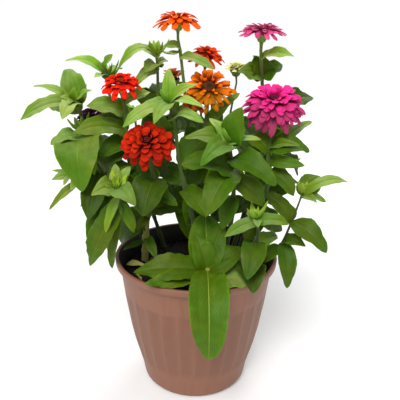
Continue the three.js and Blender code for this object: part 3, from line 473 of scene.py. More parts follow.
blooms = [
    bloom("bloom_orange_top", [-24, 10, 441], [0, -0.05, 1], [
        ring(11, 28, 8, -18, 3), ring(9, 21, 7, 10, 3),
    ], disc("disc_orange_top", 4, 4)),
    bloom("bloom_pink", [68, 0, 431], [0.02, -0.05, 1], [
        ring(13, 27, 6.5, -6, 2), ring(10, 21, 6.5, 14, 2),
    ], disc("disc_pink", 5, 4)),
    bloom("bloom_red_orange", [8, 45, 400], [0.1, -0.25, 0.96], [
        ring(11, 23, 8, -14, 3), ring(8, 18, 8, 16, 2),
    ], None),
    bloom("bloom_orange_large", [11, 4, 369], [0.05, -0.72, 0.7], [
        ring(11, 31, 8.5, -8, 3), ring(10, 25, 8, 12, 2),
    ], disc("disc_orange_large", 6.5, 6)),
    bloom("bloom_faded", [-30, 34, 376], [0, -0.2, 0.98], [
        ring(7, 15, 8, 35, 2),
    ], None),
    bloom("bloom_orange_small", [-5, -2, 353], [-0.2, -0.6, 0.77], [
        ring(8, 15, 8, -22, 3),
    ], disc("disc_orange_small", 4, 4)),
    bloom("bloom_magenta", [83, -17, 356], [0, -0.47, 0.88], [
        ring(12, 38, 14, -22, 5), ring(11, 35, 14, -4, 4), ring(9, 29, 13, 16, 3),
        ring(7, 22, 11, 36, 2), ring(4, 15, 9, 56, 1),
    ], disc("disc_magenta", 3.5, 3)),
    bloom("bloom_red_left", [-85, -15, 375], [0, -0.35, 0.94], [
        ring(10, 24, 8, -15, 3), ring(9, 18, 7, 14, 2),
    ], disc("disc_red_left", 3.5, 3.5)),
    bloom("bloom_red_double", [-54, -46, 317], [0, -0.62, 0.78], [
        ring(12, 31, 10, -12, 4), ring(10, 27, 10, 8, 3), ring(8, 21, 9, 28, 2), ring(5, 14, 8, 50, 1),
    ], disc("disc_red_double", 3.5, 4)),
    bloom("bloom_purple", [-128, 38, 327], [-0.2, -0.3, 0.93], [
        ring(9, 25, 9, -14, 3), ring(6, 17, 8, 14, 2),
    ], None),
    bloom("bloom_cream", [43, 35, 389], [-0.1, -0.3, 0.95], [
        ring(7, 13, 7, 8, 1),
    ], disc("disc_cream", 3.5, 4)),
]

leafPairs = [
    pairs("stem_orange", 250, 325, 2, 70, 20),
    pairs("stem_back", 225, 345, 3, 70, 80),
    pairs("stem_pink", 235, 340, 3, 70, 30),
    pairs("stem_behind_left", 220, 270, 2, 70, 30),
    pairs("stem_behind_middle", 225, 290, 2, 70, 75),
    pairs("stem_behind_right", 215, 262, 2, 70, 10),
]
# Leaves that are placed last, where the others leave room: over the rim and in the heart of the plant
lateLeaves = [
    late("stem_front", 0, leaf(181, [24, -40, -7], 24, 4)),
    late("stem_centre", 0, leaf(262, [20, -28, -30], 24, 7)),
    late("stem_left", 0, leaf(224, [-40, 14, -42], 36, 7)),
    late("stem_pink", 0, leaf(214, [51, 8, -30], 36, 7)),
    late("stem_right_centre", 0, leaf(292, [-53, -24, 16], 36, 7)),
    late("stem_back", 1, leaf(223, [-57, -12, -16], 36, 7)),
    late("stem_left", 2, leaf(276, [-7, -42, -42], 30, 7)),
    late("stem_pink", 0, leaf(224, [-50, 15, -30], 30, 7)),
    late("stem_behind_right", 0, leaf(289, [41, 11, -42], 36, 7)),
    late("stem_left", 2, leaf(317, [-26, -36, 0], 26, 5)),
    late("stem_pink", 0, leaf(382, [-28, -16, 4], 24, 5)),
    late("stem_far_left", 0, leaf(341, [-44, 41, 0], 30, 7)),
    late("stem_centre", 0, leaf(290, [37, 4, 37], 31, 6)),
    late("stem_behind_middle", 0, leaf(291, [-41, -12, 42], 36, 7)),
]
pairRule = {"wander": 14, "climb": 12, "spread": 0.15, "width": 0.56, "arch": 0.14}

flowerOf = {flower["name"]: flower for flower in blooms}
stemOf = {item["name"]: item for item in stems}


def draw():
    # The same small generator as the solids were made with, on 32-bit whole numbers
    most = 0xFFFFFFFF
    state = (plant["drawState"] + 0x6D2B79F5) & most
    plant["drawState"] = state
    t = ((state ^ (state >> 15)) * (1 | state)) & most
    t = ((t + (((t ^ (t >> 7)) * (61 | t)) & most)) & most) ^ t
    return ((t ^ (t >> 14)) & most) / (most + 1)


def spread(amount):
    return (draw() - 0.5) * 2 * amount


def makeBlade(base, reach, item, up, form, phase=0.0):
    along = unit(reach)
    face = unit(up - along * np.dot(up, along))
    face = turned(face, along, math.radians(item["turn"]))
    return {
        "base": base, "reach": reach, "length": float(np.linalg.norm(reach)), "width": item["width"],
        "arch": item["arch"], "face": face, "side": np.cross(along, face), "form": form, "phase": phase,
    }


def halfWidth(blade, t):
    widest, fullness = blade["form"]["widest"], blade["form"]["fullness"]
    tail = blade["form"].get("tail", fullness * (1 - widest) / widest)
    shape = np.power(t / widest, fullness) * np.power((1 - t) / (1 - widest), tail)
    return blade["width"] / 2 * shape


def bladePoints(blade, t, s, lift=0.0):
    # Points at the shares t of the length and s of the half width, lifted off the blade's mid sheet
    t, s = np.broadcast_arrays(np.asarray(t, float), np.asarray(s, float))
    rise = blade["arch"] * 4 * t * (1 - t)
    slope = blade["reach"] + np.multiply.outer(blade["arch"] * 4 * (1 - 2 * t), blade["face"])
    slope = slope / np.linalg.norm(slope, axis=-1, keepdims=True)
    normal = np.cross(blade["side"], slope)
    half = halfWidth(blade, t)
    swell = np.sin(2 * math.pi * (wavesPerLeaf * t + blade["phase"])) * np.sign(s)
    wave = blade["form"]["ruffle"] * blade["width"] * swell * np.minimum(1, half / blade["width"] * 4)
    height = s * s * (half * blade["form"]["cup"] + wave) + lift
    return (
        blade["base"]
        + t[..., None] * blade["reach"]
        + rise[..., None] * blade["face"]
        + (s * half)[..., None] * blade["side"]
        + height[..., None] * normal
    )


def curvePoint(points, t):
    # Smooth curve through the points of a route, by parameter
    last = len(points) - 1
    at = last * t
    k = min(int(at), last - 1)
    w = at - k
    p1, p2 = points[k], points[k + 1]
    p0 = points[k - 1] if k > 0 else 2 * points[0] - points[1]
    p3 = points[k + 2] if k + 2 <= last else 2 * points[last] - points[last - 1]
    m1, m2 = 0.5 * (p2 - p0), 0.5 * (p3 - p1)
    return (
        (2 * w ** 3 - 3 * w * w + 1) * p1 + (w ** 3 - 2 * w * w + w) * m1
        + (3 * w * w - 2 * w ** 3) * p2 + (w ** 3 - w * w) * m2
    )


def lineOf(route):
    # Even steps along the curve, about stemStep apart
    points = [vec(p) for p in route]
    fine = np.array([curvePoint(points, t) for t in np.arange(201) / 200])
    length = float(np.linalg.norm(np.diff(fine, axis=0), axis=1).sum())
    count = max(2, math.floor(length / plant["stemStep"] + 0.5))
    return [curvePoint(points, k / count) for k in range(count + 1)]


def alongLine(line, spacing):
    points = [line[0]]
    for before, after in zip(line, line[1:]):
        count = math.ceil(np.linalg.norm(after - before) / spacing)
        points += [before + (after - before) * j / count for j in range(1, count + 1)]
    return points


# Whose each small cell of the room is: a stem's or a bloom's
marks = {}
nextCells = np.array([[x, y, z] for x in (-1, 0, 1) for y in (-1, 0, 1) for z in (-1, 0, 1)])


def cellOf(points):
    cells = np.floor(points / plant["cell"]).astype(int)
    span = 512  # more cells than the plant is across
    return ((cells[..., 0] * span + cells[..., 1]) * span + cells[..., 2]).ravel().tolist()


def mark(points, owner):
    around = np.reshape(points, (-1, 1, 3)) + nextCells * plant["cell"]
    for key in cellOf(around):
        before = marks.get(key)
        marks[key] = owner if before is None or before == owner else "several"


def wallRadius(z):
    radii, heights = zip(*pot["profile"])
    return np.where(z <= heights[-1], np.interp(z, heights, radii), pot["rimRadius"])


def isFree(points, owner):
    if any(marks.get(key, owner) != owner for key in cellOf(points)):
        return False
    z = points[:, 2]
    radius = np.hypot(points[:, 0], points[:, 1])
    innerWall = pot["collarRadius"] - pot["wall"] - plant["potRoom"]
    outside = (z > pot["height"] + plant["potRoom"]) | (radius > wallRadius(z) + plant["potRoom"])
    inside = (radius < innerWall) & (z > soil["top"] + plant["soilRoom"])
    return bool(np.all(outside | inside))


def bladeSamples(blade):
    rows = math.ceil(blade["length"] / plant["sampleLength"])
    columns = max(1, math.ceil(blade["width"] / plant["sampleWidth"]))
    t = np.arange(rows + 1)[:, None] / rows
    s = np.arange(-columns, columns + 1)[None, :] / columns
    return bladePoints(blade, t, s).reshape(-1, 3)


def settleLeaf(base, reach, item, phase, owner, light):
    # A leaf in its own place if that is free, or swung about its joint a few degrees at a time,
    # in eight ways
    bearing = math.atan2(reach[1], reach[0])
    climb = math.atan2(reach[2], math.hypot(reach[0], reach[1]))
    length = float(np.linalg.norm(reach))
    for swing in range(plant["swingRounds"] + 1):
        off = math.radians(swing * plant["swingStep"])
        for way in np.arange(1 if swing == 0 else 8) * math.pi / 4:
            turn = bearing + off * math.cos(way)
            tilt = climb + off * math.sin(way)
            flat = math.cos(tilt)
            swung = length * vec([flat * math.cos(turn), flat * math.sin(turn), math.sin(tilt)])
            blade = makeBlade(base, swung, item, light, leafForm, phase)
            samples = bladeSamples(blade)
            clear = np.linalg.norm(samples - base, axis=1) > plant["jointRoom"]
            if isFree(samples[clear], owner):
                return blade
    return None


def headOf(flower):
    return vec(flower["head"]), unit(vec(flower["facing"]))


def spoke(axis, angle):
    # A direction straight out from an axis, at an angle round it
    across = unit(vec([1, 0, 0]) - axis * axis[0])
    return across * math.cos(angle) + np.cross(axis, across) * math.sin(angle)


def ringHeight(level):
    return plant["firstRing"] + level * plant["ringStep"]


def petalBlade(flower, level, row, angle, rise, length, turn, sunk=1.0):
    # A petal at an angle round its bloom, that rises some degrees out of the plane of its ring
    florets = flower["centre"]
    inner = (florets["radius"] if florets else plant["heartRadius"]) + plant["petalGap"]
    centre, facing = headOf(flower)
    radial = spoke(facing, angle)
    rise = math.radians(rise)
    base = centre + radial * inner * sunk + facing * ringHeight(level)
    reach = (radial * math.cos(rise) + facing * math.sin(rise)) * (length - inner)
    item = {"width": row["width"], "arch": row["arch"], "turn": turn}
    return {**makeBlade(base, reach, item, facing, petalForm), "level": level}


def petalBlades(flower):
    blades = []
    for level, row in enumerate(flower["rings"]):
        for k in range(row["count"]):
            angle = 2 * math.pi * (k + level * 0.5) / row["count"] + spread(petalRule["wander"])
            stagger = petalRule["stagger"] if k % 2 == 0 else -petalRule["stagger"]
            rise = row["rise"] + stagger + spread(petalRule["tilt"])
            length = row["length"] * (1 + spread(petalRule["spread"]))
            blades.append(petalBlade(flower, level, row, angle, rise, length, spread(petalRule["turn"])))
    return blades


def neckOf(flower):
    centre, facing = headOf(flower)
    return centre - facing * (plant["calyxLength"] + plant["neckLength"])


def lightAt(base):
    # Where a leaf turns its face: to the front and up, or away from the plant at its back
    if base[1] < plant["backDepth"]:
        return vec(plant["frontLight"])
    return unit(vec([base[0], base[1], 0])) + upward


def growShoot(item, one):
    route = [vec(p) for p in one["route"]]
    if one["bloomName"]:
        route.append(neckOf(flowerOf[one["bloomName"]]))
    before = [p for line in item["lines"] for p in line]
    if before:
        route[0] = min(before, key=lambda p: np.linalg.norm(p - route[0]))
    one["line"] = lineOf(route)
    one["blades"] = []
    item["lines"].append(alongLine(one["line"], plant["markStep"]))
    mark(item["lines"][-1], item["name"])


def addLeaf(item, index, each):
    line = item["lines"][index]
    base = min(line[:-2], key=lambda p: abs(p[2] - each["joint"]))
    blade = settleLeaf(base, vec(each["reach"]), each, draw(), item["name"], lightAt(base))
    if blade is None:
        return
    mark(bladeSamples(blade), item["name"])
    item["shoots"][index]["blades"].append(blade)


def addPairs(item, rule):
    line = item["lines"][0]
    for k in range(rule["count"]):
        joint = rule["low"] + (rule["high"] - rule["low"]) * k / max(1, rule["count"] - 1)
        for half in (0, 180):
            bearing = math.radians(rule["turn"] + 90 * k + half + spread(pairRule["wander"]))
            climb = math.radians(pairRule["climb"] + spread(pairRule["wander"]))
            length = rule["size"] * (1 + spread(pairRule["spread"]))
            flat = length * math.cos(climb)
            reach = [flat * math.cos(bearing), flat * math.sin(bearing), length * math.sin(climb)]
            each = leaf(joint, reach, length * pairRule["width"], length * pairRule["arch"])
            tipDepth = min(line, key=lambda p: abs(p[2] - joint))[1] + reach[1]
            if tipDepth > plant["frontLimit"]:
                addLeaf(item, 0, each)


def growPlant():
    for flower in blooms:
        flower["blades"] = petalBlades(flower)
    for flower in blooms:
        for blade in flower["blades"]:
            mark(bladeSamples(blade), flower["name"])
    for item in stems:
        item["lines"] = []
        for one in item["shoots"]:
            growShoot(item, one)
    for item in stems:
        for index, one in enumerate(item["shoots"]):
            for each in one["leaves"]:
                addLeaf(item, index, each)
    for rule in leafPairs:
        addPairs(stemOf[rule["stemName"]], rule)
    for entry in lateLeaves:
        addLeaf(stemOf[entry["stemName"]], entry["shootIndex"], entry["leaf"])


growPlant()
leafCount = sum(len(one["blades"]) for item in stems for one in item["shoots"])
print("plant grown:", leafCount, "leaves")


# Meshes: a piece is gathered as patches of points, faces, places on the blade (across, along), four
# tones, edges that stay sharp, and a material, and then made in one go.

def newPiece():
    return {"points": [], "faces": [], "places": [], "tones": [], "rims": [], "skins": [], "count": 0}


def addPatch(piece, points, faces, skin, places=None, tones=None, rims=None):
    points = np.reshape(points, (-1, 3))
    size = len(points)
    piece["points"].append(points)
    piece["faces"] += [tuple(k + piece["count"] for k in face) for face in faces]
    piece["skins"] += [skin] * len(faces)
    piece["places"].append(np.zeros((size, 2)) if places is None else np.reshape(places, (-1, 2)))
    tones = vec([0.5, 0.5, 0.5, 1] if tones is None else tones)
    piece["tones"].append(np.broadcast_to(tones, (size, 4)))
    piece["rims"].append(np.zeros(size, bool) if rims is None else rims)
    piece["count"] += size


def newMesh(piece, name):
    mesh = bpy.data.meshes.new(name)
    mesh.from_pydata((np.concatenate(piece["points"]) * mm).tolist(), [], piece["faces"])
    return mesh


def finishPiece(piece, name, materials, nodes):
    mesh = newMesh(piece, name)
    for material in materials:
        mesh.materials.append(material)
    mesh.polygons.foreach_set("material_index", piece["skins"])
    mesh.polygons.foreach_set("use_smooth", [True] * len(piece["faces"]))
    corners = np.empty(len(mesh.loops), int)
    mesh.loops.foreach_get("vertex_index", corners)
    places = mesh.uv_layers.new(name="bladePlace")
    places.data.foreach_set("uv", np.concatenate(piece["places"])[corners].ravel())
    tones = mesh.color_attributes.new("tone", "FLOAT_COLOR", "POINT")
    tones.data.foreach_set("color", np.concatenate(piece["tones"]).ravel())
    rims = np.concatenate(piece["rims"])
    if rims.any():
        ends = np.empty(len(mesh.edges) * 2, int)
        mesh.edges.foreach_get("vertices", ends)
        sharp = rims[ends.reshape(-1, 2)].all(axis=1)
        mesh.attributes.new("sharp_edge", "BOOLEAN", "EDGE").data.foreach_set("value", sharp)
    mesh.update()
    item = newObject(name, mesh)
    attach(item, "root")
    if nodes:
        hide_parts(*nodes)
    return item


def addTube(piece, rings, skin, tones):
    # Rings of equal point counts joined in order, closed at both ends
    rings = np.array(rings)
    rows, sides = rings.shape[:2]
    faces = []
    for low in range(0, (rows - 1) * sides, sides):
        high = low + sides
        for k in range(sides):
            after = (k + 1) % sides
            faces.append((low + k, low + after, high + after, high + k))
    faces.append(tuple(reversed(range(sides))))
    faces.append(tuple((rows - 1) * sides + k for k in range(sides)))
    along = np.linspace(0, 1, rows)[:, None] * np.ones(sides)
    around = np.ones(rows)[:, None] * np.arange(sides) / sides
    addPatch(piece, rings, faces, skin, np.stack([around, along], -1), tones)


def roundAngles(count):
    return np.arange(count) * 2 * math.pi / count


def circle(centre, tangent, radius, sides):
    across = unit(vec([0, 1, 0]) - tangent * tangent[1])
    other = np.cross(tangent, across)
    angles = roundAngles(sides)
    return centre + radius * (np.outer(np.cos(angles), across) + np.outer(np.sin(angles), other))


def levelRing(radius, z, angles):
    return np.stack([radius * np.cos(angles), radius * np.sin(angles), z + 0 * angles], -1)


def bothSides(half):
    return vec([-share for share in reversed(half)] + [0] + list(half))


def clamped(share):
    return min(1.0, max(0.0, share))


def noRelief(t, s):
    return 0 * t * s


def addBlade(piece, blade, skin, rows, columns, thickness, relief, tones):
    # A closed blade: an upper and a lower sheet that meet in a thin edge. Relief is a height over
    # the mid sheet as a function of the shares along and across.
    s = columns[None, :]
    # Teeth in the tip: the rows near it are drawn back between them
    teeth = blade.get("notch", 0) * (0.5 - 0.5 * np.cos(3 * math.pi * s))
    t = rows[:, None] - teeth * rows[:, None] ** 6
    lift = relief(t, s)
    # Full thickness inside, thin at the edges and the tip
    full = thickness / 2 * (1 - np.abs(s) ** 3) * np.minimum(1, 12 * (1 - t)) * np.ones_like(t)
    upper = bladePoints(blade, t, s, lift + full)
    lower = bladePoints(blade, t[:, 1:-1], s[:, 1:-1], (lift - full)[:, 1:-1])
    ends = bladePoints(blade, np.array([0.0, 1.0]), np.array([0.0, 0.0]))
    # The outer part droops and the whole bends a little to one side
    for points, shares in ((upper, t), (lower, t[:, 1:-1]), (ends, np.array([0.0, 1.0]))):
        points -= (blade.get("droop", 0) * shares ** 3)[..., None] * blade["face"]
        points += (blade.get("bend", 0) * shares ** 2)[..., None] * blade["side"]
    n, m = len(rows), len(columns)
    top = np.arange(n * m).reshape(n, m)
    middle = n * m + np.arange(n * (m - 2)).reshape(n, m - 2)
    under = np.concatenate([top[:, :1], middle, top[:, -1:]], axis=1)
    base = n * m + n * (m - 2)
    tip = base + 1
    faces = []
    for k in range(m - 1):
        for j in range(n - 1):
            faces.append((top[j, k], top[j, k + 1], top[j + 1, k + 1], top[j + 1, k]))
            faces.append((under[j, k], under[j + 1, k], under[j + 1, k + 1], under[j, k + 1]))
        faces.append((base, top[0, k + 1], top[0, k]))
        faces.append((base, under[0, k], under[0, k + 1]))
        faces.append((tip, top[-1, k], top[-1, k + 1]))
        faces.append((tip, under[-1, k + 1], under[-1, k]))
    faces = [tuple(int(v) for v in face) for face in faces]
    upperPlaces = np.stack(np.broadcast_arrays(s / 2 + 0.5, rows[:, None]), -1)
    places = np.concatenate([
        upperPlaces.reshape(-1, 2), upperPlaces[:, 1:-1].reshape(-1, 2), [[0.5, 0.0], [0.5, 1.0]],
    ])
    points = np.concatenate([upper.reshape(-1, 3), lower.reshape(-1, 3), ends])
    rims = np.zeros(len(points), bool)
    rims[top[:, [0, -1]].ravel()] = True
    rims[[base, tip]] = True
    colours = np.tile(vec(tones), (len(points), 1))
    colours[n * m:base, 2] = 1.0  # the back of the blade
    addPatch(piece, points, faces, skin, places, colours, rims)


# Leaves: folded a little along the midrib, three main veins sunk in the upper face, and the panels
# between them puffed up and puckered

leafLook = {
    "thickness": 1.1,
    "sideVein": 0.52,  # of the half width
    "veinDepth": (0.1, 0.4, 0.1),  # mm
    "veinWidth": 0.07,
    "puff": 0.008,  # of the leaf's width
    "pucker": 0.34,  # mm
    "puckerLength": 9.0,  # mm
    "rowLength": 2.8,
    "rows": (7, 30),  # fewest and most
    # Columns from the midrib to the edge, in shares of the half width, and those of small leaves
    "columns": (0.05, 0.14, 0.28, 0.41, 0.48, 0.52, 0.56, 0.63, 0.76, 0.9, 1),
    "fewColumns": (0.05, 0.28, 0.52, 0.76, 1),
    "smallWidth": 16,
    "droop": (0.0, 0.09),  # of the length, at the tip
    "bend": 0.05,  # of the length
    "fold": (-0.05, 0.28),  # of the half width
    "twist": 0.4,  # rise of one edge over the other at the tip, against the width
    "ripple": 0.042,  # of the width, at the edge
    "rippleLength": 13.0,  # mm
    "tail": 0.74,  # the tips run out thinner than those of the solids
    # The leaves over the front rim start below this height and before this depth
    "rimHeight": 200,
    "rimDepth": -60,
    "underReach": -30,
    "calm": 0.25,  # share of their bend and twist that is left
    "tucked": 9,  # mm
    # The great leaf in front hangs in full light
    "greatWidth": 40,
    "greatYouth": 0.22,
    "greatShade": 0.62,
    # The others differ in light, and their midribs are faint
    "shade": (0.2, 0.8),
    "faintVeins": (0.1, 0.4),
    "youngWidth": 10,
    "oldWidth": 34,
    "youngTop": 45,
    # Below these heights leaves are drawn older and darker: partly age, partly painted shade
    "ageShadeFoot": 180,
    "ageShadeRange": 170,
    "youth": {"most": 0.85, "lower": 0.4, "large": 0.45, "least": 0.02, "spread": 0.1},
}
toneChance = random.Random(41)  # one row of draws for all the leaves and stems


def leafRelief(blade):
    side = leafLook["sideVein"]
    puff = leafLook["puff"] * blade["width"]
    waves = 2 * math.pi * blade["length"] / leafLook["puckerLength"]
    ripples = 2 * math.pi * blade["length"] / leafLook["rippleLength"]
    start = blade["phase"] * 6.3  # radians, so that no two leaves wave alike

    def relief(t, s):
        away, half = np.abs(s), halfWidth(blade, t)
        # Panels, veins, puckers, hollow, fold and twist, and the wavy edge
        height = puff * np.abs(np.sin(math.pi * s / side)) * (1 - away ** 4)
        for vein, depth in zip((-side, 0.0, side), leafLook["veinDepth"]):
            height = height - depth * np.exp(-((s - vein) / leafLook["veinWidth"]) ** 2)
        pucker = leafLook["pucker"] * np.sin(waves * t - away * 5 + start)
        height = height + pucker * away * (1.1 - away) * 2
        height = height + (away ** 1.2 - away ** 2) * half * leafForm["cup"]
        height = height + (blade["fold"] * away ** 1.4 + blade["twist"] * s * t) * half
        edge = leafLook["ripple"] * blade["width"] * away ** 4
        height = height + edge * np.sin(ripples * t + start * 1.7 + 2.4 * np.sign(s))
        # All of it dies away towards the joint and the tip
        return height * np.minimum(1, 6 * t) * np.minimum(1, 4 * (1 - t))

    return relief


def addLeafBlade(piece, blade, youth, shade):
    count = int(np.clip(blade["length"] / leafLook["rowLength"], *leafLook["rows"]))
    rows = 0.5 - 0.5 * np.cos(math.pi * np.linspace(0, 1, count + 2)[1:-1])
    small = blade["width"] < leafLook["smallWidth"]
    columns = bothSides(leafLook["fewColumns" if small else "columns"])
    # The leaves over the front rim are calm, so that they don't cut through the great one among them
    inFront = blade["base"][2] < leafLook["rimHeight"] and blade["base"][1] < leafLook["rimDepth"]
    great = inFront and blade["width"] > leafLook["greatWidth"]
    calm = leafLook["calm"] if inFront else 1
    chance = random.Random(int(blade["phase"] * 1e6))
    blade = {
        **blade, "droop": blade["length"] * chance.uniform(*leafLook["droop"]),
        "bend": blade["length"] * chance.uniform(-1, 1) * leafLook["bend"] * calm,
        "fold": chance.uniform(*leafLook["fold"]),
        "twist": chance.uniform(-1, 1) * leafLook["twist"] * calm,
    }
    if great:
        # Only this leaf shows its midrib plainly
        youth, shade, vein = leafLook["greatYouth"], leafLook["greatShade"], 1.0
    else:
        vein = toneChance.uniform(*leafLook["faintVeins"])
        blade["form"] = {**blade["form"], "tail": leafLook["tail"]}
        if inFront and blade["reach"][1] < leafLook["underReach"]:
            # This one lies under the great leaf
            blade["arch"] -= leafLook["tucked"]
    tone = [youth, shade, 0.0, vein]
    addBlade(piece, blade, 0, rows, columns, leafLook["thickness"], leafRelief(blade), tone)


def leafYouth(one, blade):
    # Leaves near the top of their shoot and small ones are young; leaves low in the plant are drawn older
    # and darker, partly for their age and partly as painted shade
    look, share = leafLook, leafLook["youth"]
    height, width = blade["base"][2], blade["width"]
    fromTop = np.clip((one["line"][-1][2] - height) / look["youngTop"], 0, 1)
    size = np.clip((width - look["youngWidth"]) / (look["oldWidth"] - look["youngWidth"]), 0, 1)
    youth = share["most"] - share["lower"] * fromTop - share["large"] * size
    high = np.clip((height - look["ageShadeFoot"]) / look["ageShadeRange"], 0, 1)
    drawn = toneChance.uniform(-share["spread"], share["spread"])
    return float(np.clip(youth * (0.5 + 0.5 * high) + drawn, share["least"], 1))


# Stems: hollow green stems, round and slightly swollen where a pair of leaves stands

stemLook = {
    "sides": 12,
    "ringStep": 2.0,
    "smoothing": 4,
    "swelling": 1.25,
    "swellingLength": 3.2,
    "swellingLeaf": 25,  # mm, shorter leaves leave no joint
    "scarFoot": 16,  # mm over the soil to the first bare joint, and from joint to joint
    "scarStep": 24,
    "darkBelow": 225,
    "darkFade": 180,
    "woodyRadius": 4,
    "woodyBelow": 235,
    "woodyFade": 30,
    "tenderLength": 14,
    "neckPlace": -7,  # mm behind the bloom's head
    "neckSwelling": 1.4,
    "cup": ((-3, 5.2), (0, 5.9)),  # place and radius
}


def stemTones(rings, radius, tip):
    # Light, which is less towards the foot, a tone to spare, and how woody or tender the stem is
    light = np.clip((rings[..., 2] - stemLook["darkBelow"]) / stemLook["darkFade"], 0, 1)
    spare = np.full_like(light, toneChance.random())
    yellow = np.zeros_like(light)
    if radius > stemLook["woodyRadius"]:
        # The oldest stem is pale olive and woody at its foot
        yellow = np.clip((stemLook["woodyBelow"] - rings[..., 2]) / stemLook["woodyFade"], 0, 1)
    if tip is not None:
        # The growing tip is tender and yellow green
        fromTip = np.linalg.norm(rings - tip, axis=-1)
        yellow = np.maximum(yellow, np.clip(1 - fromTip / stemLook["tenderLength"], 0, 1))
    return np.stack([np.maximum(light, yellow), spare, yellow, np.ones_like(light)], -1)


def addStem(piece, one, flower):
    line = np.array(alongLine(one["line"], plant["markStep"]))
    inSoil = line[0][2] <= soil["top"] + plant["potRoom"]
    low, high = one["radius"]
    smooth = line.copy()
    for k in range(1, len(line) - 1):
        span = min(stemLook["smoothing"], k, len(line) - 1 - k)
        smooth[k] = line[k - span:k + span + 1].mean(axis=0)
    shares = np.linspace(0, 1, len(smooth))
    if inSoil:
        smooth = np.vstack([[smooth[0] - upward * plant["rootDepth"]], smooth])
        shares = np.concatenate([[0], shares])
    joints = [blade["base"] for blade in one["blades"] if blade["length"] > stemLook["swellingLeaf"]]
    # Lower down, the joints that have lost their leaves are still thick
    bare = min((joint[2] for joint in joints), default=0) - stemLook["scarStep"] / 2
    if inSoil:
        for height in np.arange(soil["top"] + stemLook["scarFoot"], bare, stemLook["scarStep"]):
            joints.append(min(line, key=lambda p: abs(p[2] - height)))
    rings = []
    for k in range(0, len(smooth), max(1, int(stemLook["ringStep"] / plant["markStep"]))):
        point = smooth[k]
        tangent = unit(smooth[min(k + 1, len(smooth) - 1)] - smooth[max(k - 1, 0)])
        radius = low + (high - low) * shares[k]
        near = min((np.linalg.norm(point - joint) for joint in joints), default=99)
        radius *= 1 + (stemLook["swelling"] - 1) * math.exp(-(near / stemLook["swellingLength"]) ** 2)
        rings.append(circle(point, tangent, radius, stemLook["sides"]))
    if flower:
        centre, facing = headOf(flower)
        swollen = (stemLook["neckPlace"], high * stemLook["neckSwelling"])
        for place, radius in ((-plant["calyxLength"], high), swollen, *stemLook["cup"]):
            rings.append(circle(centre + facing * place, facing, radius, stemLook["sides"]))
    else:
        rings.append(circle(smooth[-1], tangent, high, stemLook["sides"]))
    rings = np.array(rings)
    tones = stemTones(rings, low, None if flower else smooth[-1])
    addTube(piece, rings, 1, tones.reshape(-1, 4))


# Green cup under a bloom: three rows of small blunt scales that lap over each other

cupLook = {
    "rows": 3,
    "scales": 11,
    "length": 6.2,
    "width": 4.6,
    "thickness": 0.7,
    "arch": 0.8,
    "sunk": 1.0,
    "down": (0.25, 0.62),  # first row and span of the rows, of the cup's length
    "radius": (0.9, 0.45),  # first row and taper, of the cup's radius
    "lean": (0.9, 0.35),  # up and out
    "form": {"widest": 0.55, "fullness": 0.7, "cup": -0.5, "ruffle": 0},
    "places": (0.12, 0.4, 0.7, 0.93),
    "youth": 0.3,
}


def addCup(piece, flower):
    centre, facing = headOf(flower)
    rows, columns = vec(cupLook["places"]), bothSides((0.5, 1))
    first, span = cupLook["down"]
    wide, taper = cupLook["radius"]
    up, out = cupLook["lean"]
    for row in range(cupLook["rows"]):
        back = plant["calyxLength"] * (first + span * row / cupLook["rows"])
        radius = plant["calyxRadius"] * (wide - taper * row / cupLook["rows"]) - cupLook["sunk"]
        for k in range(cupLook["scales"]):
            radial = spoke(facing, 2 * math.pi * (k + row * 0.5) / cupLook["scales"])
            base = centre - facing * back + radial * radius
            reach = unit(facing * up + radial * out) * cupLook["length"]
            scale = makeBlade(base, reach, {**cupLook, "turn": 0}, radial, cupLook["form"])
            tone = [cupLook["youth"], toneChance.random(), 0, 1]
            addBlade(piece, scale, 2, rows, columns, cupLook["thickness"], noRelief, tone)


# Young leaves crowd the tip of each shoot that has no bloom

budLook = {
    "leaves": 9,
    "length": (10, 25),
    "width": 0.34,  # of the length, as is the arch
    "arch": -0.12,
    "spread": 0.62,
    "leastSpread": 0.25,
    "turn": 2.4,  # radians from leaf to leaf
    "straighten": 0.6,
    "tilt": 0.3,
    "sunk": 1.5,
    "youth": 1.0,
    "shade": 0.75,
    "leastShoot": 60,
}


def addBud(piece, one):
    tip = one["line"][-1]
    up = unit(unit(tip - one["line"][-2]) + upward * budLook["straighten"])
    short, long = budLook["length"]
    for k in range(budLook["leaves"]):
        share = k / (budLook["leaves"] - 1)
        radial = spoke(up, k * budLook["turn"])
        length = short + (long - short) * share
        reach = unit(up + radial * budLook["spread"] * (budLook["leastSpread"] + share)) * length
        item = {"width": length * budLook["width"], "arch": budLook["arch"] * length, "turn": 0}
        face = up * budLook["tilt"] - radial
        base = tip - up * budLook["sunk"]
        blade = makeBlade(base, reach, item, face, leafForm, toneChance.random())
        addLeafBlade(piece, blade, budLook["youth"], budLook["shade"])


# Zinnia leaf: a rough soft herb leaf, matt with short hairs, paler veins, a painted pale sheen where
# young leaves face up, and light that comes through it. Young leaves are yellow green, old ones dark.

leafPaint = {
    "oldHex": "#324a00",
    "midHex": "#547404",
    "youngHex": "#7a9a28",
    "budHex": "#90ae24",
    "veinHex": "#a8b850",
    "backHex": "#5c7830",
    # The pale of the painted sheen on young leaves that face up
    "sheenHex": "#b2c47c",
    "veinShare": 0.65,
    "mottleScale": 90,  # per metre, clouds about 11 mm across
    "driftScale": 22,  # per metre, about one leaf
    "grainScale": 1500,  # hairs and pits under a millimetre, drawn as coarse as shows
    "sideVeinWaves": 75.0,  # radians along the leaf, twelve pairs of side veins
}


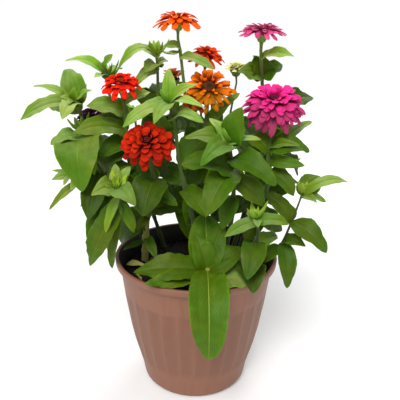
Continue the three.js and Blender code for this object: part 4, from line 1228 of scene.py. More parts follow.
def paintLeaf(add):
    mesh = meshValues(add)
    youth, shade, back, plain = mesh["tones"]
    solid = mesh["solid"]
    mottle = add("TexNoise", {"Scale": leafPaint["mottleScale"], "Detail": 3.0}, {"Vector": solid})
    # Youth, with a little cloudiness, picks the green
    scaled = add("Math", {"operation": "MULTIPLY", 1: 0.85}, {0: youth})
    age = add("Math", {"operation": "MULTIPLY_ADD", 1: 0.3}, {0: mottle, 2: scaled})
    green = add("ValToRGB", None, {"Fac": age})
    greens = green.color_ramp.elements
    greens[0].position = 0.12
    greens[0].color, greens[1].color = linear(leafPaint["oldHex"]), linear(leafPaint["budHex"])
    greens.new(0.5).color = linear(leafPaint["midHex"])
    greens.new(0.85).color = linear(leafPaint["youngHex"])
    # Distance from the nearest main vein, at the middle and at half way to each edge
    centred = add("Math", {"operation": "SUBTRACT", 1: 0.5}, {0: mesh["across"]})
    away = add("Math", {"operation": "ABSOLUTE"}, {0: centred})
    fromSide = add("Math", {"operation": "SUBTRACT", 1: leafLook["sideVein"] / 2}, {0: away})
    sideAway = add("Math", {"operation": "ABSOLUTE"}, {0: fromSide})
    nearSide = add("Math", {"operation": "MULTIPLY_ADD", 1: 2.0, 2: 0.014}, {0: sideAway})
    nearest = add("Math", {"operation": "MINIMUM"}, {0: away, 1: nearSide})
    fading = {"From Min": 0.002, "From Max": 0.014, "To Min": leafPaint["veinShare"], "To Max": 0.0}
    nearVein = add("MapRange", fading, {"Value": nearest})
    vein = add("Math", {"operation": "MULTIPLY"}, {0: nearVein, 1: plain})
    # Fine side veins run out and forward from the midrib
    slant = add("Math", {"operation": "MULTIPLY_ADD", 1: -0.9}, {0: away, 2: mesh["along"]})
    bands = add("Math", {"operation": "MULTIPLY", 1: leafPaint["sideVeinWaves"]}, {0: slant})
    waves = add("Math", {"operation": "SINE"}, {0: bands})
    crests = {"From Min": 0.8, "From Max": 1.0, "To Min": 0.0, "To Max": 0.045}
    sideVein = add("MapRange", crests, {"Value": waves})
    lines = add("Math", {"operation": "ADD", "use_clamp": True}, {0: vein, 1: sideVein})
    veined = add(
        "Mix", {"data_type": "RGBA", mixTo: leafPaint["veinHex"]}, {mixShare: lines, mixFrom: green}
    )
    backShare = add("Math", {"operation": "MULTIPLY", 1: 0.6}, {0: back})
    backed = add(
        "Mix", {"data_type": "RGBA", mixTo: leafPaint["backHex"]}, {mixShare: backShare, mixFrom: veined}
    )
    # Painted sheen: where a young leaf faces up it is painted pale, as if light caught its fine hairs
    facing = add("SeparateXYZ", None, {0: add("TexCoord").outputs["Normal"]})
    sheenRange = {"From Min": 0.35, "From Max": 1.0, "To Min": 0.0, "To Max": 0.6}
    up = add("MapRange", sheenRange, {"Value": facing.outputs["Z"]})
    young = add("MapRange", {"From Min": 0.35, "From Max": 0.75}, {"Value": age})
    sheenShare = add("Math", {"operation": "MULTIPLY"}, {0: up, 1: young})
    pale = add(
        "Mix", {"data_type": "RGBA", mixTo: leafPaint["sheenHex"]}, {mixShare: sheenShare, mixFrom: backed}
    )
    light = add("MapRange", {"To Min": 0.64, "To Max": 1.26}, {"Value": shade})
    # From leaf to leaf the green drifts towards blue or yellow
    drift = add("TexNoise", {"Scale": leafPaint["driftScale"]}, {"Vector": solid})
    drifting = {"From Min": 0.32, "From Max": 0.68, "To Min": 0.478, "To Max": 0.522}
    hue = add("MapRange", drifting, {"Value": drift})
    shaded = add("HueSaturation", None, {"Hue": hue, "Value": light, "Color": pale})
    grain = add("TexNoise", {"Scale": leafPaint["grainScale"], "Detail": 2.0}, {"Vector": solid})
    pits = add("Bump", {"Strength": 0.25, "Distance": 0.0004}, {"Height": grain})
    rough = add("MapRange", {"To Min": 0.46, "To Max": 0.62}, {"Value": grain})
    return add("BsdfPrincipled", {
        "IOR": 1.45,
        "Specular IOR Level": 0.2,
        "Subsurface Weight": 0.3,
        "Subsurface Radius": (0.5, 1.0, 0.25),
        "Subsurface Scale": 0.0012,
    }, {"Base Color": shaded, "Roughness": rough, "Normal": pits})


# Zinnia stem: green and ridged, hairy enough to look dull, flushed red brown low down

stemPaint = {
    "greenHex": "#5c7024",
    "deepHex": "#46641c",
    "flushHex": "#7a5634",
    "woodyHex": "#86863c",
    "cloudScale": 60.0,  # per metre
    "ribWaves": 44.0,  # radians round the stem, seven ribs
}


def paintStem(add):
    mesh = meshValues(add)
    shade, yellow = mesh["tones"][0], mesh["tones"][2]
    cloud = add("TexNoise", {"Scale": stemPaint["cloudScale"], "Detail": 3.0}, {"Vector": mesh["solid"]})
    greens = {mixFrom: stemPaint["greenHex"], mixTo: stemPaint["deepHex"]}
    green = add("Mix", {"data_type": "RGBA", **greens}, {mixShare: cloud})
    patches = {"From Min": 0.55, "From Max": 0.8, "To Min": 0.0, "To Max": 0.5}
    flush = add("MapRange", patches, {"Value": cloud})
    flushed = add(
        "Mix", {"data_type": "RGBA", mixTo: stemPaint["flushHex"]}, {mixShare: flush, mixFrom: green}
    )
    woody = add(
        "Mix", {"data_type": "RGBA", mixTo: stemPaint["woodyHex"]}, {mixShare: yellow, mixFrom: flushed}
    )
    # The feet of the stems, deep in the plant, are darker than their tops
    light = add("MapRange", {"To Min": 0.42, "To Max": 1.25}, {"Value": shade})
    shaded = add("HueSaturation", None, {"Value": light, "Color": woody})
    ribs = add("Math", {"operation": "MULTIPLY", 1: stemPaint["ribWaves"]}, {0: mesh["across"]})
    wave = add("Math", {"operation": "SINE"}, {0: ribs})
    bump = add("Bump", {"Strength": 0.3, "Distance": 0.0003}, {"Height": wave})
    return add("BsdfPrincipled", {
        "IOR": 1.42,
        "Roughness": 0.6,
        "Specular IOR Level": 0.2,
        "Subsurface Weight": 0.15,
        "Subsurface Radius": (0.5, 1.0, 0.25),
        "Subsurface Scale": 0.001,
        "Sheen Weight": 0.2,
    }, {"Base Color": shaded, "Normal": bump})


# Scales of the green cup: the same herb tissue, with a thin dark papery edge

def paintScale(add):
    fringe = {"From Min": 0.72, "From Max": 0.95, "To Min": 0.0, "To Max": 0.85}
    edge = add("MapRange", fringe, {"Value": meshValues(add)["along"]})
    tint = add("Mix", {"data_type": "RGBA", mixFrom: "#6c8c34", mixTo: "#3a2c1c"}, {mixShare: edge})
    return add(
        "BsdfPrincipled",
        {"IOR": 1.42, "Roughness": 0.6, "Subsurface Weight": 0.1, "Subsurface Scale": 0.001},
        {"Base Color": tint},
    )


# Zinnia petal: thin velvety tissue, dull on the back, with fine lines that run to the tip. Each
# bloom has its own colours: at the tip, at the foot, on the back, and on old petals.

petalPaint = {
    "lineWaves": 56.0,  # radians across the petal, nine fine lines
}


def paintPetal(add, tipHex, shadedFootHex, backHex, oldHex):
    mesh = meshValues(add)
    dullAndShade, bright, back = mesh["tones"][:3]
    # Each petal darkens towards its foot: partly its own deeper colour, partly painted shade between the
    # petals
    up = add("MapRange", {"From Min": 0.42, "From Max": 0.95}, {"Value": mesh["along"]})
    main = add("Mix", {"data_type": "RGBA", mixFrom: shadedFootHex, mixTo: tipHex}, {mixShare: up})
    # Some petals and the lower rings are duller with age, and petals that hang get the same colour as
    # painted shade
    aged = add("Mix", {"data_type": "RGBA", mixTo: oldHex}, {mixShare: dullAndShade, mixFrom: main})
    bands = add("Math", {"operation": "MULTIPLY", 1: petalPaint["lineWaves"]}, {0: mesh["across"]})
    wave = add("Math", {"operation": "SINE"}, {0: bands})
    shading = {"From Min": -1.0, "From Max": 1.0, "To Min": 0.93, "To Max": 1.05}
    lines = add("MapRange", shading, {"Value": wave})
    lined = add("HueSaturation", None, {"Value": lines, "Color": aged})
    backed = add("Mix", {"data_type": "RGBA", mixTo: backHex}, {mixShare: back, mixFrom: lined})
    # Brightness, partly random, is painted light and shade: at none a petal is as dark as the core
    light = add("MapRange", {"To Min": 0.3, "To Max": 1.25}, {"Value": bright})
    shaded = add("HueSaturation", None, {"Value": light, "Color": backed})
    bump = add("Bump", {"Strength": 0.3, "Distance": 0.0003}, {"Height": wave})
    return add("BsdfPrincipled", {
        "IOR": 1.4,
        "Roughness": 0.75,
        "Specular IOR Level": 0.15,
        "Subsurface Weight": 0.06,
        "Subsurface Radius": (1.0, 0.5, 0.4),
        "Subsurface Scale": 0.0006,
    }, {"Base Color": shaded, "Normal": bump})


# Disc florets: tiny tubes packed tight, each with a lighter mouth

def paintFloret(add, lowHex, highHex):
    openness, bright = meshValues(add)["tones"][:2]
    tint = add("Mix", {"data_type": "RGBA", mixFrom: lowHex, mixTo: highHex}, {mixShare: openness})
    light = add("MapRange", {"To Min": 0.7, "To Max": 1.2}, {"Value": bright})
    shaded = add("HueSaturation", None, {"Value": light, "Color": tint})
    return add(
        "BsdfPrincipled",
        {"IOR": 1.4, "Roughness": 0.7, "Subsurface Weight": 0.1, "Subsurface Scale": 0.001},
        {"Base Color": shaded},
    )


leafSkin = newMaterial("zinniaLeafSoftHairy", paintLeaf)
stemSkin = newMaterial("zinniaStemHairy", paintStem)
scaleSkin = newMaterial("greenCupScales", paintScale)

for item in stems:
    piece = newPiece()
    for one in item["shoots"]:
        flower = flowerOf.get(one["bloomName"])
        addStem(piece, one, flower)
        if flower:
            addCup(piece, flower)
        elif np.linalg.norm(one["line"][-1] - one["line"][0]) > budLook["leastShoot"]:
            addBud(piece, one)
        for blade in one["blades"]:
            addLeafBlade(piece, blade, leafYouth(one, blade), toneChance.uniform(*leafLook["shade"]))
    finishPiece(piece, item["name"] + "_leafy", [leafSkin, stemSkin, scaleSkin], [item["name"]])
print("stems and leaves made")


# Blooms: the rings of petals as in the solids, with more petals in between on the full ones. Lower
# rings are older and duller. A petal is broad and blunt, with two small notches in its tip.

petalLook = {
    "thickness": 0.7,
    "rows": (0.06, 0.18, 0.34, 0.5, 0.64, 0.76, 0.86, 0.94, 0.985),
    "columns": (0.16, 0.33, 0.5, 0.67, 0.84, 1),
    "fewColumns": (0.33, 0.67, 1),
    "smallWidth": 8.5,
    "smallLength": 14,
    "ridgeDepth": 0.3,  # mm, the two grooves along a petal
    "cup": (-0.15, 0.3),  # of the half width: the lowest ring arches over, the highest is hollow
    "notch": 0.05,  # of the length
    "form": {"widest": 0.72, "fullness": 0.8, "ruffle": 0.06},
    # How far the petals differ among themselves
    "sunk": 0.9,  # share of the added petals' inner radius
    "wander": 0.2,  # radians
    "rise": 9,  # degrees
    "turn": 28,  # degrees
    "length": (0.88, 1.0),
    "hollow": 0.3,
    "width": (0.8, 1.12),
    "arching": 1.2,  # mm
    "notches": (0.3, 2.2),
    "oldDroop": 0.05,  # of the length, as are droop and bend
    "droop": (-0.09, 0.1),
    "bend": 0.09,
    "bright": (0.65, 0.95),
    "dullness": 0.2,
}


def bloomLook(hexes, between, crown, wild, dullAndShade, slim, hangShade=1, topLight=0, heartShade=0):
    # Colours at the tip, at the foot, on the back and of old petals, the last also their painted shade;
    # rings added between each two of the solid and at the heart; disorder; how dull the old petals are;
    # width against the solid's; how much painted shade darkens petals that hang, and painted light
    # brightens ones that face the sky; how much painted shade darkens the heart
    return {
        "hexes": hexes.split(), "between": between, "crown": crown, "wild": wild, "dullAndShade": dullAndShade,
        "slim": slim, "hangShade": hangShade, "topLight": topLight, "heartShade": heartShade,
    }


bloomLooks = {
    "bloom_orange_top": bloomLook("#ff6404 #d03602 #e0541a #dc4a04", 2, 1, 0.7, 0.2, 1.0),
    "bloom_pink": bloomLook("#e0508a #a02450 #c8648c #b03a68", 2, 1, 0.7, 0.3, 0.95),
    "bloom_red_orange": bloomLook("#f84a08 #a81c02 #c84c22 #cc3806", 3, 3, 1.1, 0.3, 0.78),
    "bloom_orange_large": bloomLook(
        "#ff7404 #7a2400 #a8601c #b87408", 4, 2, 1.4, 0.42, 0.66, hangShade=1.7, topLight=0.3,
    ),
    "bloom_faded": bloomLook("#d06c1a #6a2c0e #a06430 #8a4018", 0, 2, 0.9, 0.6, 0.95),
    "bloom_orange_small": bloomLook("#d8540f #7c220a #a84c20 #983a0e", 0, 1, 0.8, 0.5, 0.95),
    "bloom_magenta": bloomLook("#ff3094 #8a0640 #a84074 #983658", 3, 0, 1.2, 0.55, 0.6),
    "bloom_red_left": bloomLook("#f42404 #960602 #cc3c20 #c81804", 2, 2, 1.0, 0.2, 0.9),
    "bloom_red_double": bloomLook(
        "#d82a02 #240100 #a42c10 #841002", 1, 1, 0.6, 0.35, 0.95, hangShade=1.3, topLight=0.2, heartShade=0.35,
    ),
    "bloom_purple": bloomLook("#5c0c48 #260420 #4a1e40 #3c0a32", 1, 1, 0.7, 0.4, 0.95),
    "bloom_cream": bloomLook("#f0ecb0 #c0c460 #dcdc9c #d0cc80", 0, 1, 0.6, 0.2, 0.9),
}


def petalRelief(t, s):
    return petalLook["ridgeDepth"] * np.cos(3 * math.pi * s) * (1 - np.abs(s)) * np.minimum(1, 3 * t)


def addPetal(piece, blade, tone):
    rows, columns = petalLook["rows"], petalLook["columns"]
    if blade["width"] < petalLook["smallWidth"] or blade["length"] < petalLook["smallLength"]:
        rows, columns = rows[::2], petalLook["fewColumns"]
    addBlade(piece, blade, 0, vec(rows), bothSides(columns), petalLook["thickness"], petalRelief, tone)


crownLook = {
    # From one ring at the heart to the next: petals, shares, and degrees
    "fewer": 2,
    "fewest": 4,
    "length": 0.76,
    "width": 0.86,
    "arch": 0.8,
    "steeper": 17,
    "steepest": 72,
}


def crownRings(flower, look):
    # The short steep petals at the heart, over the last ring of the solid
    rings = [flower["rings"][-1]]
    for _ in range(look["crown"]):
        last = rings[-1]
        rings.append({
            "count": max(crownLook["fewest"], last["count"] - crownLook["fewer"]),
            "rise": min(crownLook["steepest"], last["rise"] + crownLook["steeper"]),
            **{key: last[key] * crownLook[key] for key in ("length", "width", "arch")},
        })
    return rings[1:]


def mixedRing(a, b, share):
    return {key: a[key] + (b[key] - a[key]) * share for key in a}


def extraPetals(flower, look, chance):
    # Rings between those of the solids and at the heart, so that the bloom is as full as a real one
    solid = flower["rings"]
    levels = []
    for low in range(len(solid) - 1):
        for step in range(look["between"]):
            share = (step + 1) / (look["between"] + 1)
            levels.append((low + share, mixedRing(solid[low], solid[low + 1], share)))
    levels += enumerate(crownRings(flower, look), len(solid))
    wander, tilt, turn = [petalLook[key] * look["wild"] for key in ("wander", "rise", "turn")]
    blades = []
    for level, row in levels:
        count = round(row["count"])
        start = chance.random()
        for k in range(count):
            angle = 2 * math.pi * (k + start) / count + chance.uniform(-wander, wander)
            rise = row["rise"] + chance.uniform(-tilt, tilt)
            length = row["length"] * chance.uniform(*petalLook["length"])
            twist = chance.uniform(-turn, turn)
            blades.append(petalBlade(flower, level, row, angle, rise, length, twist, petalLook["sunk"]))
    return blades


coreLook = {
    "sides": 20,
    "radius": (3.6, 0.9),  # without rings, and for each ring
    "pastDisc": 3.2,
    "foot": 0.3,
    # Its outline above the foot, as shares of the height and the radius
    "footWidth": 0.8,
    "outline": ((0.25, 0.95), (0.45, 1), (0.8, 0.97), (1, 0.86)),
}


def addShadedCore(piece, flower):
    # The heart between the petals, painted dark as the shade in it
    centre, facing = headOf(flower)
    levels = len(flower["rings"])
    top = ringHeight(levels)
    size = coreLook["radius"][0] + levels * coreLook["radius"][1]
    if flower["centre"]:
        size = max(size, flower["centre"]["radius"] + coreLook["pastDisc"])
    outline = [(coreLook["foot"], coreLook["footWidth"])]
    outline += [(top * share, wide) for share, wide in coreLook["outline"]]
    rings = [circle(centre + facing * up, facing, size * wide, coreLook["sides"]) for up, wide in outline]
    addTube(piece, rings, 0, [1, 0, 0, 1])


def loosenPetal(blade, old, look, chance):
    # Each petal differs a little from the plain one of the solid
    wild = look["wild"]
    arched, hollow = petalLook["cup"]
    cup = hollow + (arched - hollow) * old + chance.uniform(-1, 1) * petalLook["hollow"] * wild
    blade["form"] = {**petalLook["form"], "cup": cup}
    blade["phase"] = chance.random()
    blade["width"] *= look["slim"] * chance.uniform(*petalLook["width"])
    blade["arch"] += chance.uniform(-1, 1) * petalLook["arching"] * wild
    blade["notch"] = petalLook["notch"] * chance.uniform(*petalLook["notches"])
    droop = petalLook["oldDroop"] * old + chance.uniform(*petalLook["droop"]) * wild
    blade["droop"] = blade["length"] * droop
    blade["bend"] = blade["length"] * chance.uniform(-1, 1) * petalLook["bend"] * wild


for flower in blooms:
    look = bloomLooks[flower["name"]]
    chance = random.Random(flower["name"])
    piece = newPiece()
    addShadedCore(piece, flower)
    levels = max(1, len(flower["rings"]) - 1 + look["crown"])
    for blade in flower["blades"] + extraPetals(flower, look, chance):
        old = 1 - blade["level"] / levels
        # Old petals are duller; petals that hang get painted shade, those that face the sky painted light,
        # and those at the heart painted shade
        hangs = -float(unit(blade["reach"])[2])
        dullAndShade = look["dullAndShade"] * (0.1 + old + hangs * look["hangShade"])
        dullAndShade += chance.uniform(-1, 1) * petalLook["dullness"]
        loosenPetal(blade, old, look, chance)
        bright = chance.uniform(*petalLook["bright"]) - look["heartShade"] * (1 - old)
        bright = min(1.0, bright - hangs * look["topLight"])
        addPetal(piece, blade, [clamped(dullAndShade), bright, 0.0, 1.0])
    skin = newMaterial("velvetPetal_" + flower["name"][6:], paintPetal, *look["hexes"])
    finishPiece(piece, flower["name"] + "_petals", [skin], [flower["name"]])
print("petals made")


# Discs: florets set in a spiral on a low dome, the outer ones open

discLooks = {
    "disc_orange_top": ("#b8680c", "#ffc62a"),
    "disc_pink": ("#7c2030", "#e8606c"),
    "disc_orange_large": ("#2c1206", "#8a4a10"),
    "disc_orange_small": ("#3c0a06", "#a82a10"),
    "disc_magenta": ("#2c0818", "#7a2040"),
    "disc_red_left": ("#6c1004", "#f0701a"),
    "disc_red_double": ("#3c0a06", "#8a1c08"),
    "disc_cream": ("#a0a040", "#e8e490"),
}
domeLook = {
    "lift": 0.3,
    "height": 0.86,  # against the solid's
    "width": 0.92,
    "sides": 16,
    # Its outline, as shares of its height and radius
    "outline": ((0, 0.72), (0.25, 0.95), (0.45, 0.98), (0.7, 0.8), (0.86, 0.5), (0.92, 0.2)),
}
floretLook = {
    "spacing": 1.45,
    "radius": 0.62,
    "height": 1.5,
    "sides": 6,
    "outline": ((0, 0.8), (0.7, 1), (1, 0.55)),
    "goldenAngle": 2.39996,
    "spread": 0.9,  # of the disc's radius
    "fall": (0.92, 0.5, 2.5),  # height in the middle, how much lower at the edge, and how suddenly
    "sunk": 0.5,
    "lean": 0.7,
}


def addFloret(piece, foot, facing, height, tone):
    rings = []
    for share, wide in floretLook["outline"]:
        middle = foot + facing * height * share
        rings.append(circle(middle, facing, floretLook["radius"] * wide, floretLook["sides"]))
    addTube(piece, rings, 0, tone)


for flower in blooms:
    if not flower["centre"]:
        continue
    shape = flower["centre"]
    centre, facing = headOf(flower)
    foot = ringHeight(len(flower["rings"])) + domeLook["lift"]
    chance = random.Random(shape["name"])
    piece = newPiece()
    rings = []
    for share, wide in domeLook["outline"]:
        middle = centre + facing * (foot + shape["height"] * share * domeLook["height"])
        rings.append(circle(middle, facing, shape["radius"] * wide * domeLook["width"], domeLook["sides"]))
    addTube(piece, rings, 0, [0.0, 0.3, 0, 1])
    count = int((shape["radius"] / floretLook["spacing"] * 2) ** 2)
    middleHeight, fall, power = floretLook["fall"]
    for k in range(count):
        share = math.sqrt((k + 0.5) / count)
        radial = spoke(facing, k * floretLook["goldenAngle"])
        height = foot + shape["height"] * domeLook["height"] * (middleHeight - fall * share ** power)
        place = centre + radial * shape["radius"] * floretLook["spread"] * share
        place = place + facing * (height - floretLook["sunk"])
        lean = unit(facing + radial * floretLook["lean"] * share)
        # The florets at the rim have opened
        openness = 0.15 + 0.85 * share ** 2 + chance.uniform(-0.15, 0.15)
        tall = floretLook["height"] * chance.uniform(0.7, 1.1)
        addFloret(piece, place, lean, tall, [clamped(openness), chance.uniform(0.2, 0.9), 0, 1])
    skin = newMaterial("florets_" + shape["name"][5:], paintFloret, *discLooks[shape["name"]])
    finishPiece(piece, shape["name"] + "_florets", [skin], [shape["name"]])
print("florets made")


# Pot: moulded polypropylene, terracotta brown with a soft satin skin, dusty and faintly scuffed

potPaint = {
    "baseHex": "#7d503b",
    "paleHex": "#875a44",
    "deepHex": "#66402d",
    "dustHex": "#a08674",
    # The near black of the painted shade inside the pot
    "innerShadeHex": "#17110d",
    "cloudScale": 14,  # per metre, as are the others
    "grainScale": 900,
    "streakScale": 160,
    "scuffScale": 420,
}


def paintPot(add):
    mesh = meshValues(add)
    fluted, innerShade, solid = mesh["tones"][0], mesh["tones"][2], mesh["solid"]
    cloud = add("TexNoise", {"Scale": potPaint["cloudScale"], "Detail": 5.0}, {"Vector": solid})
    grain = add("TexNoise", {"Scale": potPaint["grainScale"], "Detail": 2.0}, {"Vector": solid})
    browns = {mixFrom: potPaint["baseHex"], mixTo: potPaint["paleHex"]}
    tint = add("Mix", {"data_type": "RGBA", **browns}, {mixShare: cloud})
    # Streaks run down the wall
    stretch = add("Mapping", {"Scale": (1.0, 1.0, 0.08)}, {0: solid})
    streak = add("TexNoise", {"Scale": potPaint["streakScale"], "Detail": 3.0}, {"Vector": stretch})
    faint = {"From Min": 0.5, "From Max": 0.8, "To Min": 0.0, "To Max": 0.35}
    streakShare = add("MapRange", faint, {"Value": streak})
    deep = {"data_type": "RGBA", mixTo: potPaint["deepHex"]}
    streaked = add("Mix", deep, {mixShare: streakShare, mixFrom: tint})
    # Dust in the hollows and a few pale scuffs
    speck = add("TexNoise", {"Scale": potPaint["scuffScale"], "Detail": 4.0}, {"Vector": solid})
    rare = {"From Min": 0.62, "From Max": 0.78, "To Min": 0.0, "To Max": 0.16}
    scuff = add("MapRange", rare, {"Value": speck})
    dust = {"data_type": "RGBA", mixTo: potPaint["dustHex"]}
    worn = add("Mix", dust, {mixShare: scuff, mixFrom: streaked})
    # Painted shade darkens the hollows of the flutes and makes the inner wall nearly black up to near the
    # rim
    hollow = add("Math", {"operation": "MULTIPLY", 1: 0.4}, {0: fluted})
    fluteShaded = add("Mix", deep, {mixShare: hollow, mixFrom: worn})
    # Painted shade: the inner wall nearly black
    black = {"data_type": "RGBA", mixTo: potPaint["innerShadeHex"]}
    innerShaded = add("Mix", black, {mixShare: innerShade, mixFrom: fluteShaded})
    rough = add("MapRange", {"To Min": 0.42, "To Max": 0.6}, {"Value": cloud})
    bump = add("Bump", {"Strength": 0.15, "Distance": 0.0002}, {"Height": grain})
    return add(
        "BsdfPrincipled", {"IOR": 1.49, "Subsurface Weight": 0.04, "Subsurface Scale": 0.002},
        {"Base Color": innerShaded, "Roughness": rough, "Normal": bump},
    )


# Rows of the pot from its foot up over the rim and down inside, as radius and height
potRows = {
    "foot": ((2.0, 0), (60, 0), (60.8, 0.3), (61.3, 1), (62.6, 2.4), (64, 3.8), (65.4, 5.6)),
    "wall": ((9, 103, 3.0), (103, 113, 1.0), (116, 146, 5.0)),  # heights from, to, step
    "rim": (
        (92.6, 147), (93.2, 152), (94, 156.8), (95, 157.8), (98.2, 160.2), (99.2, 161.2), (99.6, 163),
        (100, 167.8), (99.6, 168.7), (98.9, 169), (96.6, 169), (96, 168.6), (95.6, 167.6), (91.6, 158),
        (91, 155),
    ),
    "innerShaded": 3,  # of the rim's rows
    "inside": (146, 128, 112, 96, 78, 60, 44, 30, 20),  # heights
    "floor": ((64.5, 14), (62.5, 8), (60, 5), (57, 4), (2.0, 4)),
}


def smoothStep(x):
    x = np.clip(x, 0, 1)
    return x * x * (3 - 2 * x)


def fluteHollow(share, z):
    # Hollow of one flute at the share across it: shallow and round, between narrow ridges, with an
    # arched top and a foot that runs out softly
    bow = np.sin(math.pi * share)
    top = pot["fluteTop"] - pot["fluteArch"] * (1 - bow)
    foot = smoothStep((z - pot["fluteFoot"]) / pot["fluteFade"])
    return pot["fluteDepth"] * bow ** 0.5 * foot * smoothStep((top - z) / pot["fluteTopFade"])


def smoothWall(z):
    # The outer wall without the corners of its profile
    if z <= 8:
        return float(wallRadius(z))
    return float(np.mean(wallRadius(np.array([z - 3, z - 1.5, z, z + 1.5, z + 3]))))


def makePot():
    columns = pot["flutes"] * pot["columnsPerFlute"]
    angles = roundAngles(columns)
    share = (np.arange(columns) % pot["columnsPerFlute"]) / pot["columnsPerFlute"]
    rows = [levelRing(radius, z, angles) for radius, z in potRows["foot"]]
    for low, high, step in potRows["wall"]:
        for z in np.arange(low, high, step):
            rows.append(levelRing(smoothWall(z) - fluteHollow(share, z), z, angles))
    rows += [levelRing(radius, z, angles) for radius, z in potRows["rim"]]
    outside = len(rows) - potRows["innerShaded"]
    for z in potRows["inside"]:
        rows.append(levelRing(float(wallRadius(z)) - pot["wall"], z, angles))
    rows += [levelRing(radius, z, angles) for radius, z in potRows["floor"]]
    # Tones: the depth of the flutes, for painted shade in their hollows, and the inner wall painted as
    # shade
    tones = np.zeros((len(rows), columns, 4))
    for row, points in enumerate(rows[:outside]):
        tones[row, :, 0] = fluteHollow(share, points[:, 2]) / pot["fluteDepth"]
    # The inner wall and the inside of the rim take the painted shade
    tones[outside:, :, 2] = 1.0
    piece = newPiece()
    addTube(piece, rows, 0, tones.reshape(-1, 4))
    skin = newMaterial("mouldedPolypropyleneTerracotta", paintPot)
    cutHoles(finishPiece(piece, "pot_fluted", [skin], ["pot"]))


def cutHoles(item):
    # Four round cutters go through the floor, a little below it and above it
    cutter = newPiece()
    for angle in roundAngles(4) + math.pi / 4:
        x, y = pot["holeCircle"] * math.cos(angle), pot["holeCircle"] * math.sin(angle)
        rings = [circle(vec([x, y, z]), upward, pot["holeRadius"], 24) for z in (-6, 12)]
        addTube(cutter, rings, 0, [0.5, 0.5, 0, 1])
    tool = newObject("drainCut", newMesh(cutter, "drainCut"))
    cut = item.modifiers.new("drainCut", "BOOLEAN")
    cut.operation = "DIFFERENCE"
    cut.solver = "EXACT"
    cut.object = tool
    bpy.context.view_layer.update()
    seen = item.evaluated_get(bpy.context.evaluated_depsgraph_get())
    uncut = item.data
    done = bpy.data.meshes.new_from_object(seen)
    item.modifiers.remove(cut)
    item.data = done
    bpy.data.meshes.remove(uncut)
    bpy.data.objects.remove(tool)


makePot()
print("pot made")


# Soil: dark peat mix, crumbly, with dry bits of leaf and stem lying on it

soilPaint = {
    "darkHex": "#0c0907",
    "crumbHex": "#1c140e",
    "dryHex": "#3a2a1c",
    "clodScale": 260.0,  # per metre
    "bitScale": 330.0,
}


def paintSoil(add):
    solid = add("TexCoord").outputs["Object"]
    clod = add("TexNoise", {"Scale": soilPaint["clodScale"], "Detail": 6.0}, {"Vector": solid})
    browns = {mixFrom: soilPaint["darkHex"], mixTo: soilPaint["crumbHex"]}
    tint = add("Mix", {"data_type": "RGBA", **browns}, {mixShare: clod})
    bit = add("TexVoronoi", {"Scale": soilPaint["bitScale"]}, {"Vector": solid})
    specks = {"From Min": 0.06, "From Max": 0.2, "To Min": 0.6, "To Max": 0.0}
    fleck = add("MapRange", specks, {"Value": bit})
    dry = {"data_type": "RGBA", mixTo: soilPaint["dryHex"]}
    flecked = add("Mix", dry, {mixShare: fleck, mixFrom: tint})
    bump = add("Bump", {"Strength": 0.8, "Distance": 0.0015}, {"Height": clod})
    return add(
        "BsdfPrincipled", {"Roughness": 0.95, "IOR": 1.4, "Specular IOR Level": 0.2},
        {"Base Color": flecked, "Normal": bump},
    )


soilLook = {
    "gap": 0.3,  # mm to the pot's wall
    "edgeGap": 0.4,
    "sides": (4.3, 18, 78, 145.5),  # heights of the rows under its top
    "sunk": 0.5,
    "roughness": 0.6,
    "swell": 0.45,  # share of the relief
    "crumbSizes": (0.8, 1.0, 1.3, 1.8, 2.6),
    "crumbMargin": 3,
    "crumbSunk": 0.3,
}


def insideRadius(z):
    # The pot's inner wall, from its floor up
    wall = pot["wall"]
    radii = (wallRadius(18) - 3 * wall, wallRadius(18) - wall, wallRadius(78) - wall, 91, 95.5)
    return float(np.interp(z, (4, 18, 78, 159, 169), radii))


def soilHeight(x, y):
    # Slow swells and quicker lumps
    slow = np.sin(x * 0.07 + 1.3) * np.cos(y * 0.08 - 0.4) + 0.6 * np.sin(x * 0.19 - y * 0.15)
    quick = 0.5 * np.sin(x * 0.61 + 2.1 * np.sin(y * 0.37)) * np.cos(y * 0.53 + x * 0.11)
    return soil["relief"] * soilLook["swell"] * (slow + quick)


def anyPlace(chance, most):
    # A place on the soil within a radius, evenly spread
    radius = most * math.sqrt(chance.random())
    angle = chance.uniform(0, 2 * math.pi)
    return radius * math.cos(angle), radius * math.sin(angle)


def onSoil(x, y, lift):
    return vec([x, y, soil["top"] + lift + float(soilHeight(x, y))])


def addCrumb(piece, place, size, chance):
    # A small lump: a six-sided double cone pushed out of shape
    points = [place + upward * (size * chance.uniform(0.5, 0.9))]
    for k in range(6):
        angle = k * math.pi / 3 + chance.uniform(-0.3, 0.3)
        radius = size * chance.uniform(0.7, 1.2)
        height = size * chance.uniform(-0.2, 0.3)
        points.append(place + vec([radius * math.cos(angle), radius * math.sin(angle), height]))
    points.append(place - upward * (size * 0.6))
    corners = [(1 + k, 1 + (k + 1) % 6) for k in range(6)]
    faces = [(0, a, b) for a, b in corners] + [(7, b, a) for a, b in corners]
    addPatch(piece, points, faces, 0)


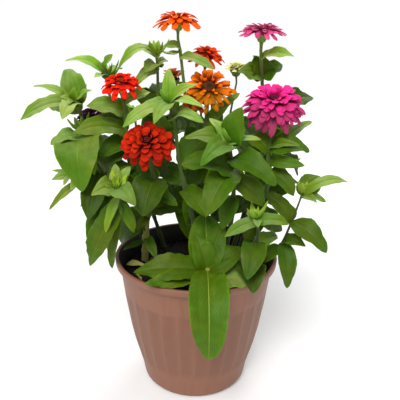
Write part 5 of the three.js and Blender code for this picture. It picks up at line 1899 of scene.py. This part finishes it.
def makeSoil():
    chance = random.Random(7)
    angles = roundAngles(soil["columns"])
    rows = [levelRing(insideRadius(z) - soilLook["gap"], z, angles) for z in soilLook["sides"]]
    edge = insideRadius(soil["top"]) - soilLook["edgeGap"]
    for k in range(soil["rows"]):
        row = levelRing(edge * (1 - k / soil["rows"]), soil["top"] - soilLook["sunk"], angles)
        rough = vec([chance.uniform(-1, 1) * soilLook["roughness"] for _ in angles])
        row[:, 2] = row[:, 2] + soilHeight(row[:, 0], row[:, 1]) + rough
        rows.append(row)
    piece = newPiece()
    addTube(piece, rows, 0, [0.5, 0.5, 0, 1])
    for _ in range(soil["crumbs"]):
        place = onSoil(*anyPlace(chance, edge - soilLook["crumbMargin"]), -soilLook["crumbSunk"])
        addCrumb(piece, place, chance.choice(soilLook["crumbSizes"]), chance)
    skin = newMaterial("peatPottingMixCrumbly", paintSoil)
    finishPiece(piece, "soil_crumbly", [skin], ["soil"])


# Dry bits: withered leaf strips and broken stalks, papery and brown

dryBits = {
    "count": 26,
    "length": (9, 24),
    "width": (2, 7),
    "arch": (1, 4),
    "turn": 40,
    "thickness": 0.6,
    "startRadius": 84,
    "endRadius": 86,
    "lift": 0.6,  # mm over the soil
    "form": {"widest": 0.5, "fullness": 0.5, "cup": 0.6, "ruffle": 0.16},
    # A pale curled strip lies at the left beside the thick stem
    "strip": {"base": (-88, -4, 152), "reach": (26, -8, 3), "width": 7, "arch": 5, "turn": 35},
    "stripThickness": 0.7,
    "stripPaleness": 0.85,
    "paleness": (0, 0.45),
}


def paintDry(add):
    mesh = meshValues(add)
    cloud = add("TexNoise", {"Scale": 180.0, "Detail": 4.0}, {"Vector": mesh["solid"]})
    brown = add("Mix", {"data_type": "RGBA", mixFrom: "#3a2616", mixTo: "#7c5c34"}, {mixShare: cloud})
    pale = {mixShare: mesh["tones"][0], mixFrom: brown}
    tint = add("Mix", {"data_type": "RGBA", mixTo: "#a09a50"}, pale)
    return add("BsdfPrincipled", {"Roughness": 0.8, "IOR": 1.4}, {"Base Color": tint})


def makeDryBits():
    chance = random.Random(12)
    piece = newPiece()
    rows, columns = np.linspace(0.06, 0.95, 12), bothSides((0.5, 1))
    strip = dryBits["strip"]
    blade = makeBlade(vec(strip["base"]), vec(strip["reach"]), strip, upward, dryBits["form"])
    pale = [dryBits["stripPaleness"], 0.5, 0, 1]
    addBlade(piece, blade, 0, rows, columns, dryBits["stripThickness"], noRelief, pale)
    for _ in range(dryBits["count"]):
        x, y = anyPlace(chance, dryBits["startRadius"])
        bearing = chance.uniform(0, 2 * math.pi)
        length = chance.uniform(*dryBits["length"])
        reach = vec([math.cos(bearing) * length, math.sin(bearing) * length, chance.uniform(-1, 2)])
        if math.hypot(x + reach[0], y + reach[1]) > dryBits["endRadius"]:
            continue
        item = {
            "width": chance.uniform(*dryBits["width"]), "arch": chance.uniform(*dryBits["arch"]),
            "turn": chance.uniform(-1, 1) * dryBits["turn"],
        }
        base = onSoil(x, y, dryBits["lift"])
        blade = makeBlade(base, reach, item, upward, dryBits["form"], chance.random())
        tone = [chance.uniform(*dryBits["paleness"]), 0.5, 0, 1]
        addBlade(piece, blade, 0, rows[::2], columns, dryBits["thickness"], noRelief, tone)
    finishPiece(piece, "dry_bits", [newMaterial("witheredLeafPapery", paintDry)], [])


# A leaf that was shed yellow green, lying over the rim in front

shedLeaf = {
    "base": (22, -83, 168),
    "reach": (50, 20, 5),
    "up": (0, -0.3, 1),
    "width": 35,
    "arch": 6,
    "turn": 0,
    "youth": 0.45,
    "shade": 0.6,
}


def makeShedLeaf():
    piece = newPiece()
    base, reach, up = [vec(shedLeaf[key]) for key in ("base", "reach", "up")]
    blade = makeBlade(base, reach, shedLeaf, up, leafForm, toneChance.random())
    addLeafBlade(piece, blade, shedLeaf["youth"], shedLeaf["shade"])
    finishPiece(piece, "shed_leaves", [leafSkin], [])


makeSoil()
makeDryBits()
makeShedLeaf()
print("soil made")
